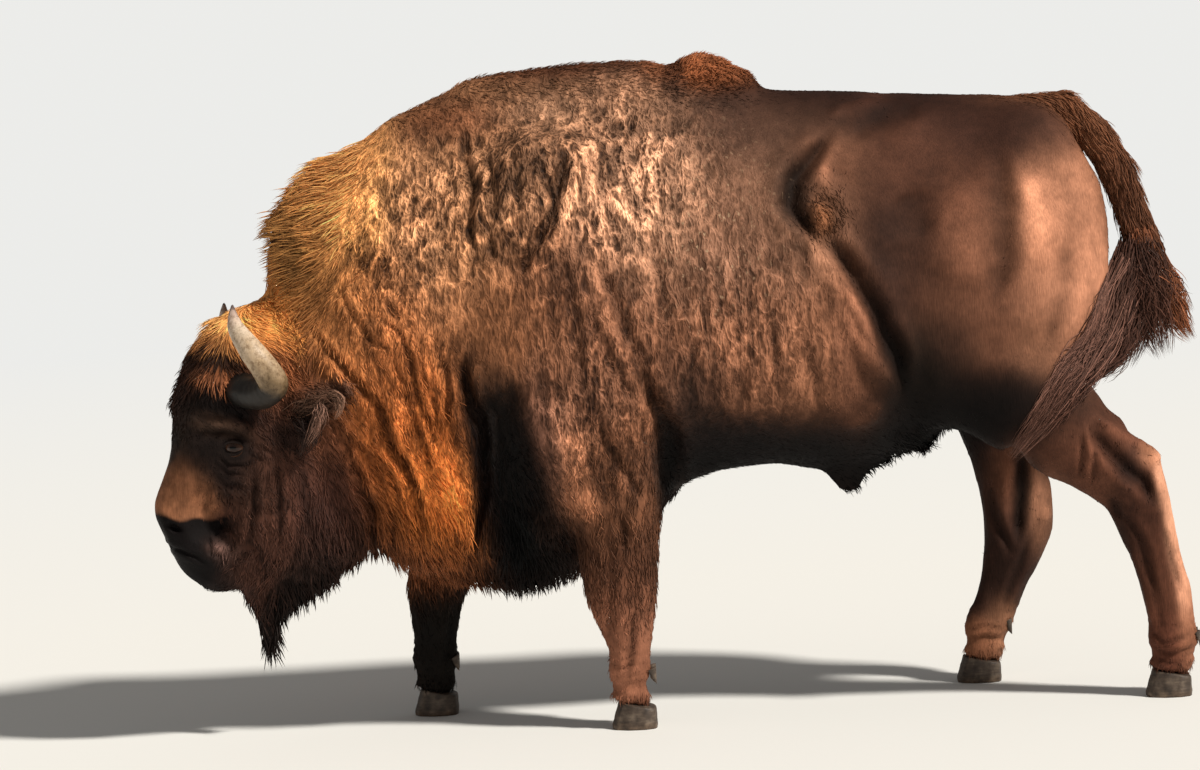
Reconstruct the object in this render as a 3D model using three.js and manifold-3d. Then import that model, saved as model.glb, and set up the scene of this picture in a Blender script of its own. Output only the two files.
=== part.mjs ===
// A wisent (European bison) bull walking with its head lowered, life size, in millimetres.
// +X runs from the muzzle to the tail, -Y is the animal's left side and +Z is up.
// The coat's outline is one implicit form, below zero inside. Each named part of the body is made
// from it, facet by facet, and parted from its neighbours with thin cuts. Horns, ears, eyes, claws
// and the tail are forms of their own, set against the body.

import * as THREE from "three";
import { mergeVertices } from "three/addons/utils/BufferGeometryUtils.js";
import Module from "manifold-3d";

const wasm = await Module();
wasm.setup();

const GAP = 0.3; // between neighbouring parts
const SLIVER = 0.03; // facets thinner than this are dropped
const FAR = 8000; // the size of a cutting block
const LEFT = -1;
const RIGHT = 1;

// ---- materials ----

const material = (color, roughness) => new THREE.MeshStandardMaterial({ color, roughness, metalness: 0 });
const BROWN_COAT = material(0x4a2a1a, 0.85);
const RUST_COAT = material(0x8a4a1f, 0.9);
const DARK_COAT = material(0x2a1a12, 0.9);
const WINTER_WOOL = material(0x7a3a20, 0.95);
const HORN = material(0x9a9080, 0.45);
const HOOF = material(0x2e2620, 0.5);
const EYE = material(0x14100c, 0.1);

// ---- small sums ----

const mix = (a, b, t) => a + (b - a) * t;
const clamp = (value, low, high) => Math.min(Math.max(value, low), high);
const smooth = (low, high, value) => {
  const t = clamp((value - low) / (high - low), 0, 1);
  return t * t * (3 - 2 * t);
};
const along = (a, b, t) => a.map((value, i) => mix(value, b[i], t));

// A function through rows of [x, value], smooth and with no overshoot between them.
function profile(rows) {
  const slope = (i) => (rows[i + 1][1] - rows[i][1]) / (rows[i + 1][0] - rows[i][0]);
  const last = rows.length - 1;
  const tangent = rows.map((_, i) => {
    if (i === 0) return slope(0);
    if (i === last) return slope(last - 1);
    const before = slope(i - 1);
    const after = slope(i);
    return before * after <= 0 ? 0 : (2 * before * after) / (before + after);
  });
  return (x) => {
    const at = clamp(x, rows[0][0], rows[last][0]);
    let i = 0;
    while (i < last - 1 && at > rows[i + 1][0]) i += 1;
    const span = rows[i + 1][0] - rows[i][0];
    const t = (at - rows[i][0]) / span;
    const rise = rows[i + 1][1] - rows[i][1];
    const bend = t * (1 - t) * ((1 - t) * (tangent[i] * span - rise) - t * (tangent[i + 1] * span - rise));
    return rows[i][1] + rise * t + bend;
  };
}

// ---- implicit forms: each takes a point and gives a distance, below zero inside ----

const join = (a, b, blend) => {
  const near = Math.max(blend - Math.abs(a - b), 0) / blend;
  return Math.min(a, b) - (near * near * blend) / 4;
};
const joinAll = (forms, blend) => (p) => forms.reduce((sum, form) => join(sum, form(p), blend), FAR);

const ellipsoid = (center, radii) => (p) => {
  const q = p.map((value, i) => (value - center[i]) / radii[i]);
  const length = Math.hypot(...q);
  const steep = Math.hypot(...q.map((value, i) => value / radii[i]));
  return length < 1e-6 ? -Math.min(...radii) : (length * (length - 1)) / steep;
};

// A limb from a to b, its radius changing from start to end, flattened sideways by flat.
const limb = (a, b, start, end, flat = 1) => {
  const axis = b.map((value, i) => value - a[i]);
  const square = axis.reduce((sum, value) => sum + value * value, 0);
  return (p) => {
    const t = clamp(axis.reduce((sum, value, i) => sum + value * (p[i] - a[i]), 0) / square, 0, 1);
    const [x, y, z] = axis.map((value, i) => p[i] - a[i] - value * t);
    return Math.hypot(x, y / flat, z) - mix(start, end, t);
  };
};

// A chain of limbs through rows of [x, y, z, radius].
const chain = (rows, blend, flat = 1) =>
  joinAll(
    rows.slice(1).map((row, i) => limb(rows[i].slice(0, 3), row.slice(0, 3), rows[i][3], row[3], flat)),
    blend,
  );

const gradient = (form, p, step) =>
  [0, 1, 2].map((i) => {
    const ahead = [...p];
    const behind = [...p];
    ahead[i] += step;
    behind[i] -= step;
    return (form(ahead) - form(behind)) / (2 * step);
  });

// ---- trunk and neck: upright sections along X ----

const NECK_END = -1000;
const RUMP_END = 1090;
const BACK_LINE = profile([
  [NECK_END, 1435], [-917, 1540], [-830, 1610], [-744, 1672], [-600, 1745], [-432, 1802],
  [-210, 1826], [60, 1812], [200, 1752], [334, 1711], [526, 1699], [717, 1680], [854, 1668], [1000, 1656],
  [RUMP_END, 1602],
]);
const BELLY_LINE = profile([
  [NECK_END, 960], [-930, 740], [-850, 600], [-700, 505], [-450, 478], [-200, 500], [0, 585],
  [110, 655], [300, 672], [460, 655], [600, 668], [700, 708], [790, 775], [950, 830], [RUMP_END, 950],
]);
const HALF_WIDTH = profile([
  [NECK_END, 130], [-930, 188], [-850, 234], [-744, 268], [-600, 298], [-432, 316], [-200, 326],
  [100, 334], [380, 350], [560, 340], [717, 308], [854, 280], [1000, 254], [RUMP_END, 208],
]);
const WIDEST_LEVEL = profile([
  [NECK_END, 1120], [-900, 1040], [-400, 1040], [300, 1060], [700, 1120], [RUMP_END, 1260],
]);
const END_ROUNDING = 45;
const HUMP_POWER = 1.5; // the arch of the hump is pointed
const RUMP_POWER = 2.05;
const BELLY_POWER = 2.25;

function trunk(p) {
  const x = clamp(p[0], NECK_END, RUMP_END);
  const middle = WIDEST_LEVEL(x);
  const above = p[2] > middle;
  const height = above ? BACK_LINE(x) - middle : middle - BELLY_LINE(x);
  const power = above ? mix(HUMP_POWER, RUMP_POWER, smooth(-300, 650, x)) : BELLY_POWER;
  const across = Math.abs(p[1]) / HALF_WIDTH(x);
  const up = Math.abs(p[2] - middle) / height;
  const beyondEnd = Math.abs(p[0] - x) / END_ROUNDING;
  return (across ** power + up ** power) ** (1 / power) - 1 + beyondEnd;
}

// The trunk's value divided by its slope is close to a distance.
const trunkForm = (p) => {
  const value = trunk(p);
  const slope = Math.hypot(...gradient(trunk, p, 4));
  return clamp(value / Math.max(slope, 1 / 400), -400, 400);
};

// ---- shoulders, hips and legs ----

const LEG_OFFSET = 212; // from the middle plane to the middle of a leg
const LEG_FLAT = 0.86; // a leg is this much narrower from side to side than from front to back
const TENDON_FLAT = 0.75;

const shoulder = (side, x) => [
  ellipsoid([x - 140, side * 212, 1290], [210, 112, 370]),
  ellipsoid([x, side * 228, 985], [205, 114, 260]),
  ellipsoid([x - 260, side * 196, 900], [150, 106, 190]),
];

const hip = (side) => [
  ellipsoid([940, side * 170, 1080], [272, 144, 320]),
  ellipsoid([822, side * 178, 945], [176, 122, 190]),
  ellipsoid([1056, side * 120, 1235], [202, 134, 400]),
];

const beside = (side, rows) => rows.map(([x, z, radius]) => [x, side * LEG_OFFSET, z, radius]);
// A leg's rows of [x, z, radius] run from the elbow or stifle down to the coronet.
const leg = (side, rows) => chain(beside(side, rows), 30, LEG_FLAT);
// The heel tendon's rows run from the back of the thigh over the point of the hock to the cannon.
const heel = (side, rows) => chain(beside(side, rows), 25, TENDON_FLAT);

const FORE_LEFT = leg(LEFT, [
  [-108, 850, 150], [-122, 640, 124], [-132, 500, 108], [-134, 395, 96], [-124, 290, 76], [-116, 200, 60],
  [-114, 145, 60], [-124, 40, 58],
]);
const FORE_RIGHT = leg(RIGHT, [
  [-400, 830, 150], [-500, 650, 116], [-585, 500, 92], [-640, 392, 86], [-654, 290, 68], [-660, 200, 58],
  [-660, 145, 60], [-674, 40, 58],
]);
const HIND_LEFT = leg(LEFT, [
  [1000, 820, 165], [1105, 730, 130], [1205, 645, 100], [1280, 565, 88], [1302, 480, 78], [1325, 400, 70],
  [1350, 281, 66], [1367, 160, 68], [1346, 40, 60],
]);
const HIND_RIGHT = leg(RIGHT, [
  [925, 830, 125], [945, 700, 100], [965, 600, 88], [985, 500, 90], [988, 415, 88], [974, 362, 78],
  [936, 261, 64], [890, 160, 63], [860, 40, 60],
]);
const HEEL_LEFT = heel(LEFT, [
  [1140, 824, 50], [1220, 747, 40], [1290, 690, 38], [1313, 655, 41], [1322, 565, 42],
]);
const HEEL_RIGHT = heel(RIGHT, [
  [985, 690, 50], [1045, 600, 36], [1066, 510, 40], [1052, 430, 46],
]);

// ---- head, in a frame of its own: u down the face, v out of the forehead, w to the animal's left ----

const POLL = new THREE.Vector3(-1180, 0, 1115);
const FACE_SLOPE = 0.434; // radians that the face leans forward of plumb
const HEAD_TURN = 0.12; // radians that the muzzle is turned to the left
const HEAD_TILT = 0.07; // radians that the crown leans to the right
const NECK_PIVOT = new THREE.Vector3(-900, 0, 1000);

const headFrame = new THREE.Matrix4()
  .makeTranslation(NECK_PIVOT)
  .multiply(new THREE.Matrix4().makeRotationZ(HEAD_TURN))
  .multiply(new THREE.Matrix4().makeRotationX(-HEAD_TILT))
  .multiply(new THREE.Matrix4().makeTranslation(POLL.clone().sub(NECK_PIVOT)))
  .multiply(
    new THREE.Matrix4().makeBasis(
      new THREE.Vector3(-Math.sin(FACE_SLOPE), 0, -Math.cos(FACE_SLOPE)),
      new THREE.Vector3(-Math.cos(FACE_SLOPE), 0, Math.sin(FACE_SLOPE)),
      new THREE.Vector3(0, -1, 0),
    ),
  );
const bodyToHead = headFrame.clone().invert();
const fromHead = (p) => new THREE.Vector3(...p).applyMatrix4(headFrame).toArray();
const inHead = (form) => (p) => form(new THREE.Vector3(...p).applyMatrix4(bodyToHead).toArray());

// A place on the head as a vector, on the left for side 1 and on the right for side -1.
const headPoint = ([u, v, w], side) => new THREE.Vector3(...fromHead([u, v, side * w]));

const EYE_PLACE = [266, -130, 137];
const EYE_RADIUS = 27;

const headMasses = joinAll(
  [
    ellipsoid([140, -75, 0], [225, 140, 165]),
    ellipsoid([200, -230, 0], [235, 190, 182]),
    limb([250, -88, 0], [476, -56, 0], 124, 78),
    ellipsoid([556, -126, 0], [64, 64, 86]),
    ellipsoid([602, -188, 0], [56, 72, 68]),
    ellipsoid([340, -300, 0], [200, 170, 160]),
    limb([570, -235, 0], [400, -330, 0], 72, 124),
    limb([400, -330, 0], [360, -470, 0], 124, 110),
    ellipsoid([40, -250, 0], [200, 205, 190]),
    ellipsoid([-30, -130, 0], [110, 150, 110]),
  ],
  50,
);
const brow = (w) => ellipsoid([214, -106, w * 114], [74, 50, 50]);
const nostrilRim = (w) => ellipsoid([530, -62, w * 46], [44, 40, 38]);
const headWhole = joinAll([headMasses, brow(-1), brow(1), nostrilRim(-1), nostrilRim(1)], 28);
const socket = (w) => ellipsoid([272, -128, w * 172], [34, 32, 32]);
const hollowedHead = (p) => -join(-headWhole(p), Math.min(socket(-1)(p), socket(1)(p)), 14);

// ---- hair that stands beyond the body ----

const BEARD = chain([
  [-1080, -10, 470, 96], [-1112, -12, 400, 66], [-1106, -14, 290, 34], [-1100, -14, 262, 24],
], 30, 0.75);
const JOWL_HAIR = chain([
  [-1090, -8, 440, 84], [-960, 0, 492, 80], [-850, 0, 560, 66],
], 30, 0.95);
const BRISKET_HAIR = chain([
  [-700, 0, 510, 74], [-600, 0, 488, 84], [-440, 0, 458, 98], [-300, 0, 470, 88], [-170, 0, 520, 72],
], 30);
const CREST_HAIR = chain([
  [-985, 0, 1240, 66], [-985, 0, 1310, 66], [-940, 0, 1410, 70], [-860, 0, 1510, 76],
], 30, 0.8);
const SHEATH = chain([
  [505, 0, 720, 82], [505, 0, 640, 62], [522, 0, 582, 42],
], 30, 0.7);
const SHEATH_FOLD = chain([
  [520, 0, 690, 72], [640, 0, 706, 66], [750, 0, 800, 64], [820, 0, 880, 56],
], 30, 0.6);
const SCROTUM = chain([
  [1010, 0, 850, 64], [1000, 0, 775, 60],
], 20, 0.9);

// ---- the whole body ----

const headForm = inHead(hollowedHead);
const shoulders = [...shoulder(LEFT, -130), ...shoulder(RIGHT, -250)]; // the right leg is the leading one
const hips = [...hip(LEFT), ...hip(RIGHT)];
const trunkAndHair = joinAll(
  [
    joinAll([trunkForm, ...shoulders, ...hips], 70),
    joinAll([BRISKET_HAIR, CREST_HAIR, SHEATH, SHEATH_FOLD, SCROTUM], 40),
  ],
  50,
);
const hindLeft = joinAll([HIND_LEFT, HEEL_LEFT], 20);
const hindRight = joinAll([HIND_RIGHT, HEEL_RIGHT], 20);
const legs = (p) => Math.min(FORE_LEFT(p), FORE_RIGHT(p), hindLeft(p), hindRight(p));
const headAndBeard = (p) => join(join(headForm(p), JOWL_HAIR(p), 50), BEARD(p), 30);
const body = (p) => join(join(trunkAndHair(p), legs(p), 60), headAndBeard(p), 60);

// ---- from a form to a closed faceted solid ----

function toSolid(geometry) {
  const bare = geometry.clone();
  bare.deleteAttribute("normal");
  bare.deleteAttribute("uv");
  const merged = mergeVertices(bare, 1e-3);
  const mesh = new wasm.Mesh({
    numProp: 3,
    vertProperties: new Float32Array(merged.attributes.position.array),
    triVerts: new Uint32Array(merged.index.array),
  });
  return new wasm.Manifold(mesh);
}

// The same surface moved outwards by a gap, for cutting a neighbour.
function swollen(geometry) {
  const grown = geometry.clone();
  grown.computeVertexNormals();
  const { position, normal } = grown.attributes;
  position.array.forEach((value, i) => {
    position.array[i] = value + normal.array[i] * GAP * 1.5;
  });
  return toSolid(grown);
}

// Moves a point onto the form's surface, but no more than reach from where it starts.
function settle(form, start, reach) {
  let p = start;
  for (let round = 0; round < 4; round += 1) {
    const slope = gradient(form, p, 1);
    const square = slope.reduce((sum, value) => sum + value * value, 0);
    const step = form(p) / Math.max(square, 0.04);
    p = p.map((value, i) => clamp(value - slope[i] * step, start[i] - reach[i], start[i] + reach[i]));
  }
  return p;
}

// Surface nets: one vertex in each cell that the surface crosses, one quad for each crossed edge.
function facets(form, low, high, cell) {
  const count = cell.map((step, i) => Math.ceil((high[i] - low[i]) / step) + 3);
  const place = (i, j, k) => [i, j, k].map((n, axis) => low[axis] + (n - 1) * cell[axis]);
  const inBox = (p) => Math.max(...p.map((value, i) => Math.max(low[i] - value, value - high[i])));
  const closed = (p) => Math.max(form(p), inBox(p));
  const key = (i, j, k) => (k * count[1] + j) * count[0] + i;
  const values = new Float64Array(count[0] * count[1] * count[2]);
  for (let k = 0; k < count[2]; k += 1)
    for (let j = 0; j < count[1]; j += 1)
      for (let i = 0; i < count[0]; i += 1) values[key(i, j, k)] = closed(place(i, j, k));

  const corners = [0, 1, 2, 3, 4, 5, 6, 7].map((n) => [n & 1, (n >> 1) & 1, n >> 2]);
  const edges = [];
  corners.forEach((a, m) =>
    corners.forEach((b, n) => {
      if (m < n && a.filter((value, axis) => value !== b[axis]).length === 1) edges.push([m, n]);
    }),
  );
  const vertexOf = new Map();
  const positions = [];
  for (let k = 0; k < count[2] - 1; k += 1)
    for (let j = 0; j < count[1] - 1; j += 1)
      for (let i = 0; i < count[0] - 1; i += 1) {
        const at = corners.map(([a, b, c]) => values[key(i + a, j + b, k + c)]);
        const crossings = edges
          .filter(([m, n]) => at[m] < 0 !== at[n] < 0)
          .map(([m, n]) => along(corners[m], corners[n], at[m] / (at[m] - at[n])));
        if (!crossings.length) continue;
        const mean = [0, 1, 2].map(
          (axis) => crossings.reduce((sum, crossing) => sum + crossing[axis], 0) / crossings.length,
        );
        const start = place(i + mean[0], j + mean[1], k + mean[2]);
        vertexOf.set(key(i, j, k), positions.length / 3);
        positions.push(...settle(closed, start, cell.map((step) => step * 0.45)));
      }

  const index = [];
  const point = (n) => positions.slice(n * 3, n * 3 + 3);
  const span = (a, b) => Math.hypot(...point(a).map((value, i) => value - point(b)[i]));
  const quad = (a, b, c, d) => {
    if (span(a, c) <= span(b, d)) index.push(a, b, c, a, c, d);
    else index.push(a, b, d, b, c, d);
  };
  for (let k = 1; k < count[2] - 1; k += 1)
    for (let j = 1; j < count[1] - 1; j += 1)
      for (let i = 1; i < count[0] - 1; i += 1) {
        const here = values[key(i, j, k)] < 0;
        const turns = [
          [values[key(i + 1, j, k)] < 0, [i, j - 1, k - 1], [i, j, k - 1], [i, j, k], [i, j - 1, k]],
          [values[key(i, j + 1, k)] < 0, [i - 1, j, k - 1], [i - 1, j, k], [i, j, k], [i, j, k - 1]],
          [values[key(i, j, k + 1)] < 0, [i - 1, j - 1, k], [i, j - 1, k], [i, j, k], [i - 1, j, k]],
        ];
        for (const [there, ...cells] of turns) {
          if (here === there) continue;
          const ring = cells.map((c) => vertexOf.get(key(...c)));
          quad(...(here ? ring : ring.reverse()));
        }
      }
  const geometry = new THREE.BufferGeometry();
  geometry.setAttribute("position", new THREE.Float32BufferAttribute(positions, 3));
  geometry.setIndex(index);
  return geometry;
}

// A closed form through rings of points, each ring with the same count, capped at both ends.
function rings(rows) {
  const sides = rows[0].length;
  const positions = rows.flat(2);
  const index = [];
  for (let r = 0; r < rows.length - 1; r += 1)
    for (let s = 0; s < sides; s += 1) {
      const a = r * sides + s;
      const b = r * sides + ((s + 1) % sides);
      index.push(a, b, b + sides, a, b + sides, a + sides);
    }
  const last = (rows.length - 1) * sides;
  for (let s = 1; s < sides - 1; s += 1) index.push(0, s + 1, s, last, last + s, last + s + 1);
  const geometry = new THREE.BufferGeometry();
  geometry.setAttribute("position", new THREE.Float32BufferAttribute(positions, 3));
  geometry.setIndex(index);
  return geometry;
}

// ---- cuts: a plane is [point, outward], and a region is what lies inside all its planes ----

function block([point, outward], offset) {
  const geometry = new THREE.BoxGeometry(FAR, FAR, FAR).translate(0, 0, FAR / 2);
  const normal = new THREE.Vector3(...outward).normalize();
  geometry.applyQuaternion(new THREE.Quaternion().setFromUnitVectors(new THREE.Vector3(0, 0, 1), normal));
  geometry.translate(...new THREE.Vector3(...point).addScaledVector(normal, offset).toArray());
  return toSolid(geometry);
}

const keep = (solid, planes) =>
  planes.reduce((left, plane) => left.subtract(block(plane, -GAP / 2)), solid);
const EVERYWHERE = block([[0, 0, -FAR / 2], [0, 0, 1]], 0);
const remove = (solid, planes) =>
  solid.subtract(planes.reduce((left, plane) => left.subtract(block(plane, GAP / 2)), EVERYWHERE));
const behind = (planes) => planes.map(([point, outward]) => [point, outward.map((value) => -value)]);

const root = new THREE.Group();

// Adds the largest body of a solid as a named part, without the slivers that cutting leaves.
function add(name, solid, look) {
  const bodies = solid.decompose().sort((a, b) => b.volume() - a.volume());
  const mesh = bodies[0].simplify(SLIVER).getMesh();
  const count = mesh.vertProperties.length / mesh.numProp;
  const positions = new Float32Array(count * 3);
  for (let i = 0; i < count; i += 1) {
    positions.set(mesh.vertProperties.subarray(i * mesh.numProp, i * mesh.numProp + 3), i * 3);
  }
  const geometry = new THREE.BufferGeometry();
  geometry.setAttribute("position", new THREE.BufferAttribute(positions, 3));
  geometry.setIndex(new THREE.BufferAttribute(new Uint32Array(mesh.triVerts), 1));
  geometry.computeVertexNormals();
  const part = new THREE.Mesh(geometry, look);
  part.name = name;
  root.add(part);
}

// ---- where the body is parted ----

const plane = (x, y, z, ...outward) => [[x, y, z], outward];
const HEAD_REGION = [plane(-1047, 0, 1202, 0.865, 0, 0.5), plane(-765, 0, 0, 1, 0, 0)];
const BEARD_REGION = [plane(-1200, 0, 425, -0.3, 0, 0.95), plane(-1205, 0, 0, -1, 0, 0)];
const JAW_REGION = [plane(-1240, 0, 530, 0.34, 0, 0.94), plane(-1130, 0, 0, 1, 0, 0)];
const NECK_CUT = [plane(-590, 0, 1100, 1, 0, 0.1)];
const WITHERS_CUT = [plane(50, 0, 1100, 1, 0, 0)];
const LOIN_CUT = [plane(640, 0, 1100, 1, 0, 0)];
const foreRegion = (side, low, high, top) => [
  plane(0, 0, top, 0, 0, 1), plane(0, side * 122, 0, 0, -side, 0),
  plane(low, 0, 0, -1, 0, 0), plane(high, 0, 0, 1, 0, 0),
];
const FORE_LEFT_REGION = foreRegion(LEFT, -285, 120, 700);
const FORE_RIGHT_REGION = foreRegion(RIGHT, -755, -300, 660);
const HIND_LEFT_REGION = [
  plane(1010, 0, 800, -0.8, 0, 0.6), plane(1180, 0, 850, 0.2, 0, 0.98), plane(0, LEFT * 30, 0, 0, 1, 0),
];
const HIND_RIGHT_REGION = [
  plane(880, 0, 745, -0.2, 0, 0.98), plane(740, 0, 0, -1, 0, 0), plane(0, RIGHT * 60, 0, 0, -1, 0),
];
const FRINGE_REGION = [
  plane(0, 0, 475, 0, 0, 1), plane(0, -121, 0, 0, -1, 0), plane(0, 121, 0, 0, 1, 0),
  plane(-764, 0, 0, -1, 0, 0), plane(-100, 0, 0, 1, 0, 0),
];
const SHEATH_REGION = [plane(0, 0, 650, 0, 0, 1), plane(400, 0, 0, -1, 0, 0), plane(620, 0, 0, 1, 0, 0)];

// ---- trunk and neck ----

const frontFacets = facets(body, [-1100, -430, 330], [120, 430, 1900], [104, 82, 96]);
const barrelFacets = facets(body, [-60, -430, 400], [740, 430, 1880], [150, 84, 104]);
const rearFacets = facets(body, [560, -430, 560], [1330, 430, 1760], [96, 78, 94]);
const frontSkin = swollen(frontFacets);
const barrelSkin = swollen(barrelFacets);
const rearSkin = swollen(rearFacets);
const frontSolid = toSolid(frontFacets);
const notFront = [HEAD_REGION, FORE_LEFT_REGION, FORE_RIGHT_REGION, FRINGE_REGION];
const front = notFront.reduce(remove, frontSolid);
add("neck", keep(front, NECK_CUT), RUST_COAT);
add("forequarters", keep(front, [...behind(NECK_CUT), ...WITHERS_CUT]), BROWN_COAT);
const barrel = [FORE_LEFT_REGION, SHEATH_REGION].reduce(remove, toSolid(barrelFacets));
add("barrel", keep(barrel, [...behind(WITHERS_CUT), ...LOIN_CUT]), BROWN_COAT);
const rear = [HIND_LEFT_REGION, HIND_RIGHT_REGION].reduce(remove, toSolid(rearFacets));
add("hindquarters", keep(rear, behind(LOIN_CUT)), BROWN_COAT);
add("brisket_fringe", keep(frontSolid, [...FRINGE_REGION, ...WITHERS_CUT]), DARK_COAT);
const sheathFacets = facets(body, [380, -120, 500], [660, 120, 700], [44, 44, 44]);
add("sheath", keep(toSolid(sheathFacets), SHEATH_REGION), DARK_COAT);

// ---- head ----

const headFacets = facets(body, [-1440, -270, 220], [-700, 270, 1330], [54, 50, 54]);
const headSkin = swollen(headFacets);
const eyeball = (w, radius) => {
  const ball = new THREE.IcosahedronGeometry(radius, 1);
  return toSolid(ball.translate(...headPoint(EYE_PLACE, w).toArray()));
};
const headSolid = keep(toSolid(headFacets), HEAD_REGION);
const eyeless = [-1, 1].reduce((left, w) => left.subtract(eyeball(w, EYE_RADIUS + GAP * 2)), headSolid);
add("head", remove(remove(eyeless, BEARD_REGION), JAW_REGION), DARK_COAT);
add("lower_jaw", remove(keep(headSolid, JAW_REGION), BEARD_REGION), DARK_COAT);
add("beard", keep(headSolid, BEARD_REGION), DARK_COAT);

const FORELOCK = joinAll(
  [
    ellipsoid([40, 10, 0], [118, 54, 104]),
    limb([20, 20, 10], [72, 76, 12], 54, 28),
    limb([120, 0, 0], [190, 44, -10], 64, 40),
    limb([190, 30, -10], [262, 38, -14], 46, 28),
  ],
  26,
);
const forelockFacets = facets(inHead(FORELOCK), [-1420, -220, 820], [-1060, 220, 1300], [50, 50, 50]);
add("forelock", toSolid(forelockFacets).subtract(headSkin), RUST_COAT);

// The horns leave the head sideways, sweep up and forward, and turn in at their tips.
const HORN_PATH = [
  [112, -82, 96], [112, -101, 170], [101, -139, 240], [68, -155, 288], [39, -123, 308], [1, -63, 304],
  [-34, -14, 272], [-61, 6, 254], [-90, 19, 236],
];
const HORN_RADIUS = profile([[0, 50], [0.33, 46], [0.55, 41], [0.7, 34], [0.845, 22], [0.925, 14], [1, 5]]);
const HORN_STEPS = 10;
const HORN_SIDES = 9;

function horn(w) {
  const path = new THREE.CatmullRomCurve3(HORN_PATH.map((place) => headPoint(place, w)));
  const frames = path.computeFrenetFrames(HORN_STEPS, false);
  const rows = Array.from({ length: HORN_STEPS + 1 }, (_, n) => {
    const center = path.getPointAt(n / HORN_STEPS);
    return Array.from({ length: HORN_SIDES }, (_, s) => {
      const angle = (s / HORN_SIDES) * Math.PI * 2;
      const radius = HORN_RADIUS(n / HORN_STEPS);
      return center
        .clone()
        .addScaledVector(frames.normals[n], Math.cos(angle) * radius)
        .addScaledVector(frames.binormals[n], Math.sin(angle) * radius)
        .toArray();
    });
  });
  return toSolid(rings(rows));
}

// An ear is a leaf with a hollow front, from its base out, back and a little up.
const EAR_BASE = [160, -205, 150];
const EAR_TIP = [28, -322, 276];
const EAR_FRONT = [0.35, 0.35, 0.87];

function ear(w) {
  const base = headPoint(EAR_BASE, w);
  const tip = headPoint(EAR_TIP, w);
  const length = tip.distanceTo(base);
  const axis = tip.clone().sub(base).normalize();
  const [u, v, out] = EAR_FRONT;
  const front = new THREE.Vector3(u, v, w * out).transformDirection(headFrame);
  const across = new THREE.Vector3().crossVectors(axis, front).normalize();
  front.crossVectors(across, axis);
  const toEar = new THREE.Matrix4().makeBasis(axis, across, front).setPosition(base).invert();
  const leaf = ellipsoid([length * 0.55, 0, 0], [length * 0.5, 54, 30]);
  const stalk = limb([-20, 0, -4], [length * 0.4, 0, -4], 30, 26);
  const hollow = ellipsoid([length * 0.6, 0, 26], [length * 0.3, 28, 18]);
  const form = (p) => {
    const q = new THREE.Vector3(...p).applyMatrix4(toEar).toArray();
    return -join(-join(leaf(q), stalk(q), 16), hollow(q), 10);
  };
  const middle = base.clone().lerp(tip, 0.5);
  const low = middle.clone().subScalar(length * 0.75);
  const high = middle.clone().addScalar(length * 0.75);
  return toSolid(facets(form, low.toArray(), high.toArray(), [33, 33, 33]));
}

for (const [name, w] of [["left", 1], ["right", -1]]) {
  const hornSolid = horn(w);
  add("horn_" + name, hornSolid.subtract(headSkin), HORN);
  add("ear_" + name, ear(w).subtract(headSkin).subtract(frontSkin), BROWN_COAT);
  add("eye_" + name, eyeball(w, EYE_RADIUS), EYE);
}

// ---- legs and feet ----

const CORONET_HEIGHT = 66; // at the middle of the foot
const CORONET_SLOPE = 0.2; // it is higher at the toe than at the heel
const CLAW_LENGTH = 124;
const CLAW_WIDTH = 56;
const CLEFT = 5; // between the two claws of a foot
const WALL_HEIGHT = 9; // where a claw is longest, a little above its sole
const SOLE_SIZE = 0.97; // of the size at the wall's height
const TOP_SIZE = 0.82;
const TOP_SHIFT = 10; // the toe slopes back
// Half a foot from above, from the toe round the outer wall to the heel, in claw lengths and widths.
const CLAW_OUTLINE = [
  [-0.5, 0.16], [-0.4, 0.6], [-0.12, 0.93], [0.22, 1], [0.44, 0.8], [0.5, 0.4], [0.48, 0], [-0.46, 0],
];

// A claw has a flat sole, a steep toe and a flat inner wall, and stands beside its neighbour.
function claw(x, y, outer) {
  const level = (size, shift, height) =>
    CLAW_OUTLINE.map(([a, b]) => {
      const px = x + shift + a * CLAW_LENGTH * size;
      const py = y + outer * (CLEFT / 2 + b * CLAW_WIDTH * mix(1, size, 0.6));
      return [px, py, height(px)];
    });
  const rows = [
    level(SOLE_SIZE, 0, () => 0),
    level(1, 0, () => WALL_HEIGHT),
    level(TOP_SIZE, TOP_SHIFT, (px) => CORONET_HEIGHT - (px - x) * CORONET_SLOPE - GAP),
  ];
  return toSolid(rings(outer > 0 ? rows.map((row) => [...row].reverse()) : rows));
}

const DEWCLAW_RADIUS = 19;
const DEWCLAW_LENGTH = 48;
const DEWCLAW_OFFSET = 27; // from the middle of the leg

function dewclaw(x, y, z) {
  const geometry = new THREE.ConeGeometry(DEWCLAW_RADIUS, DEWCLAW_LENGTH, 7);
  return toSolid(geometry.rotateX(-Math.PI / 2).rotateY(-0.35).translate(x, y, z));
}

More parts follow.
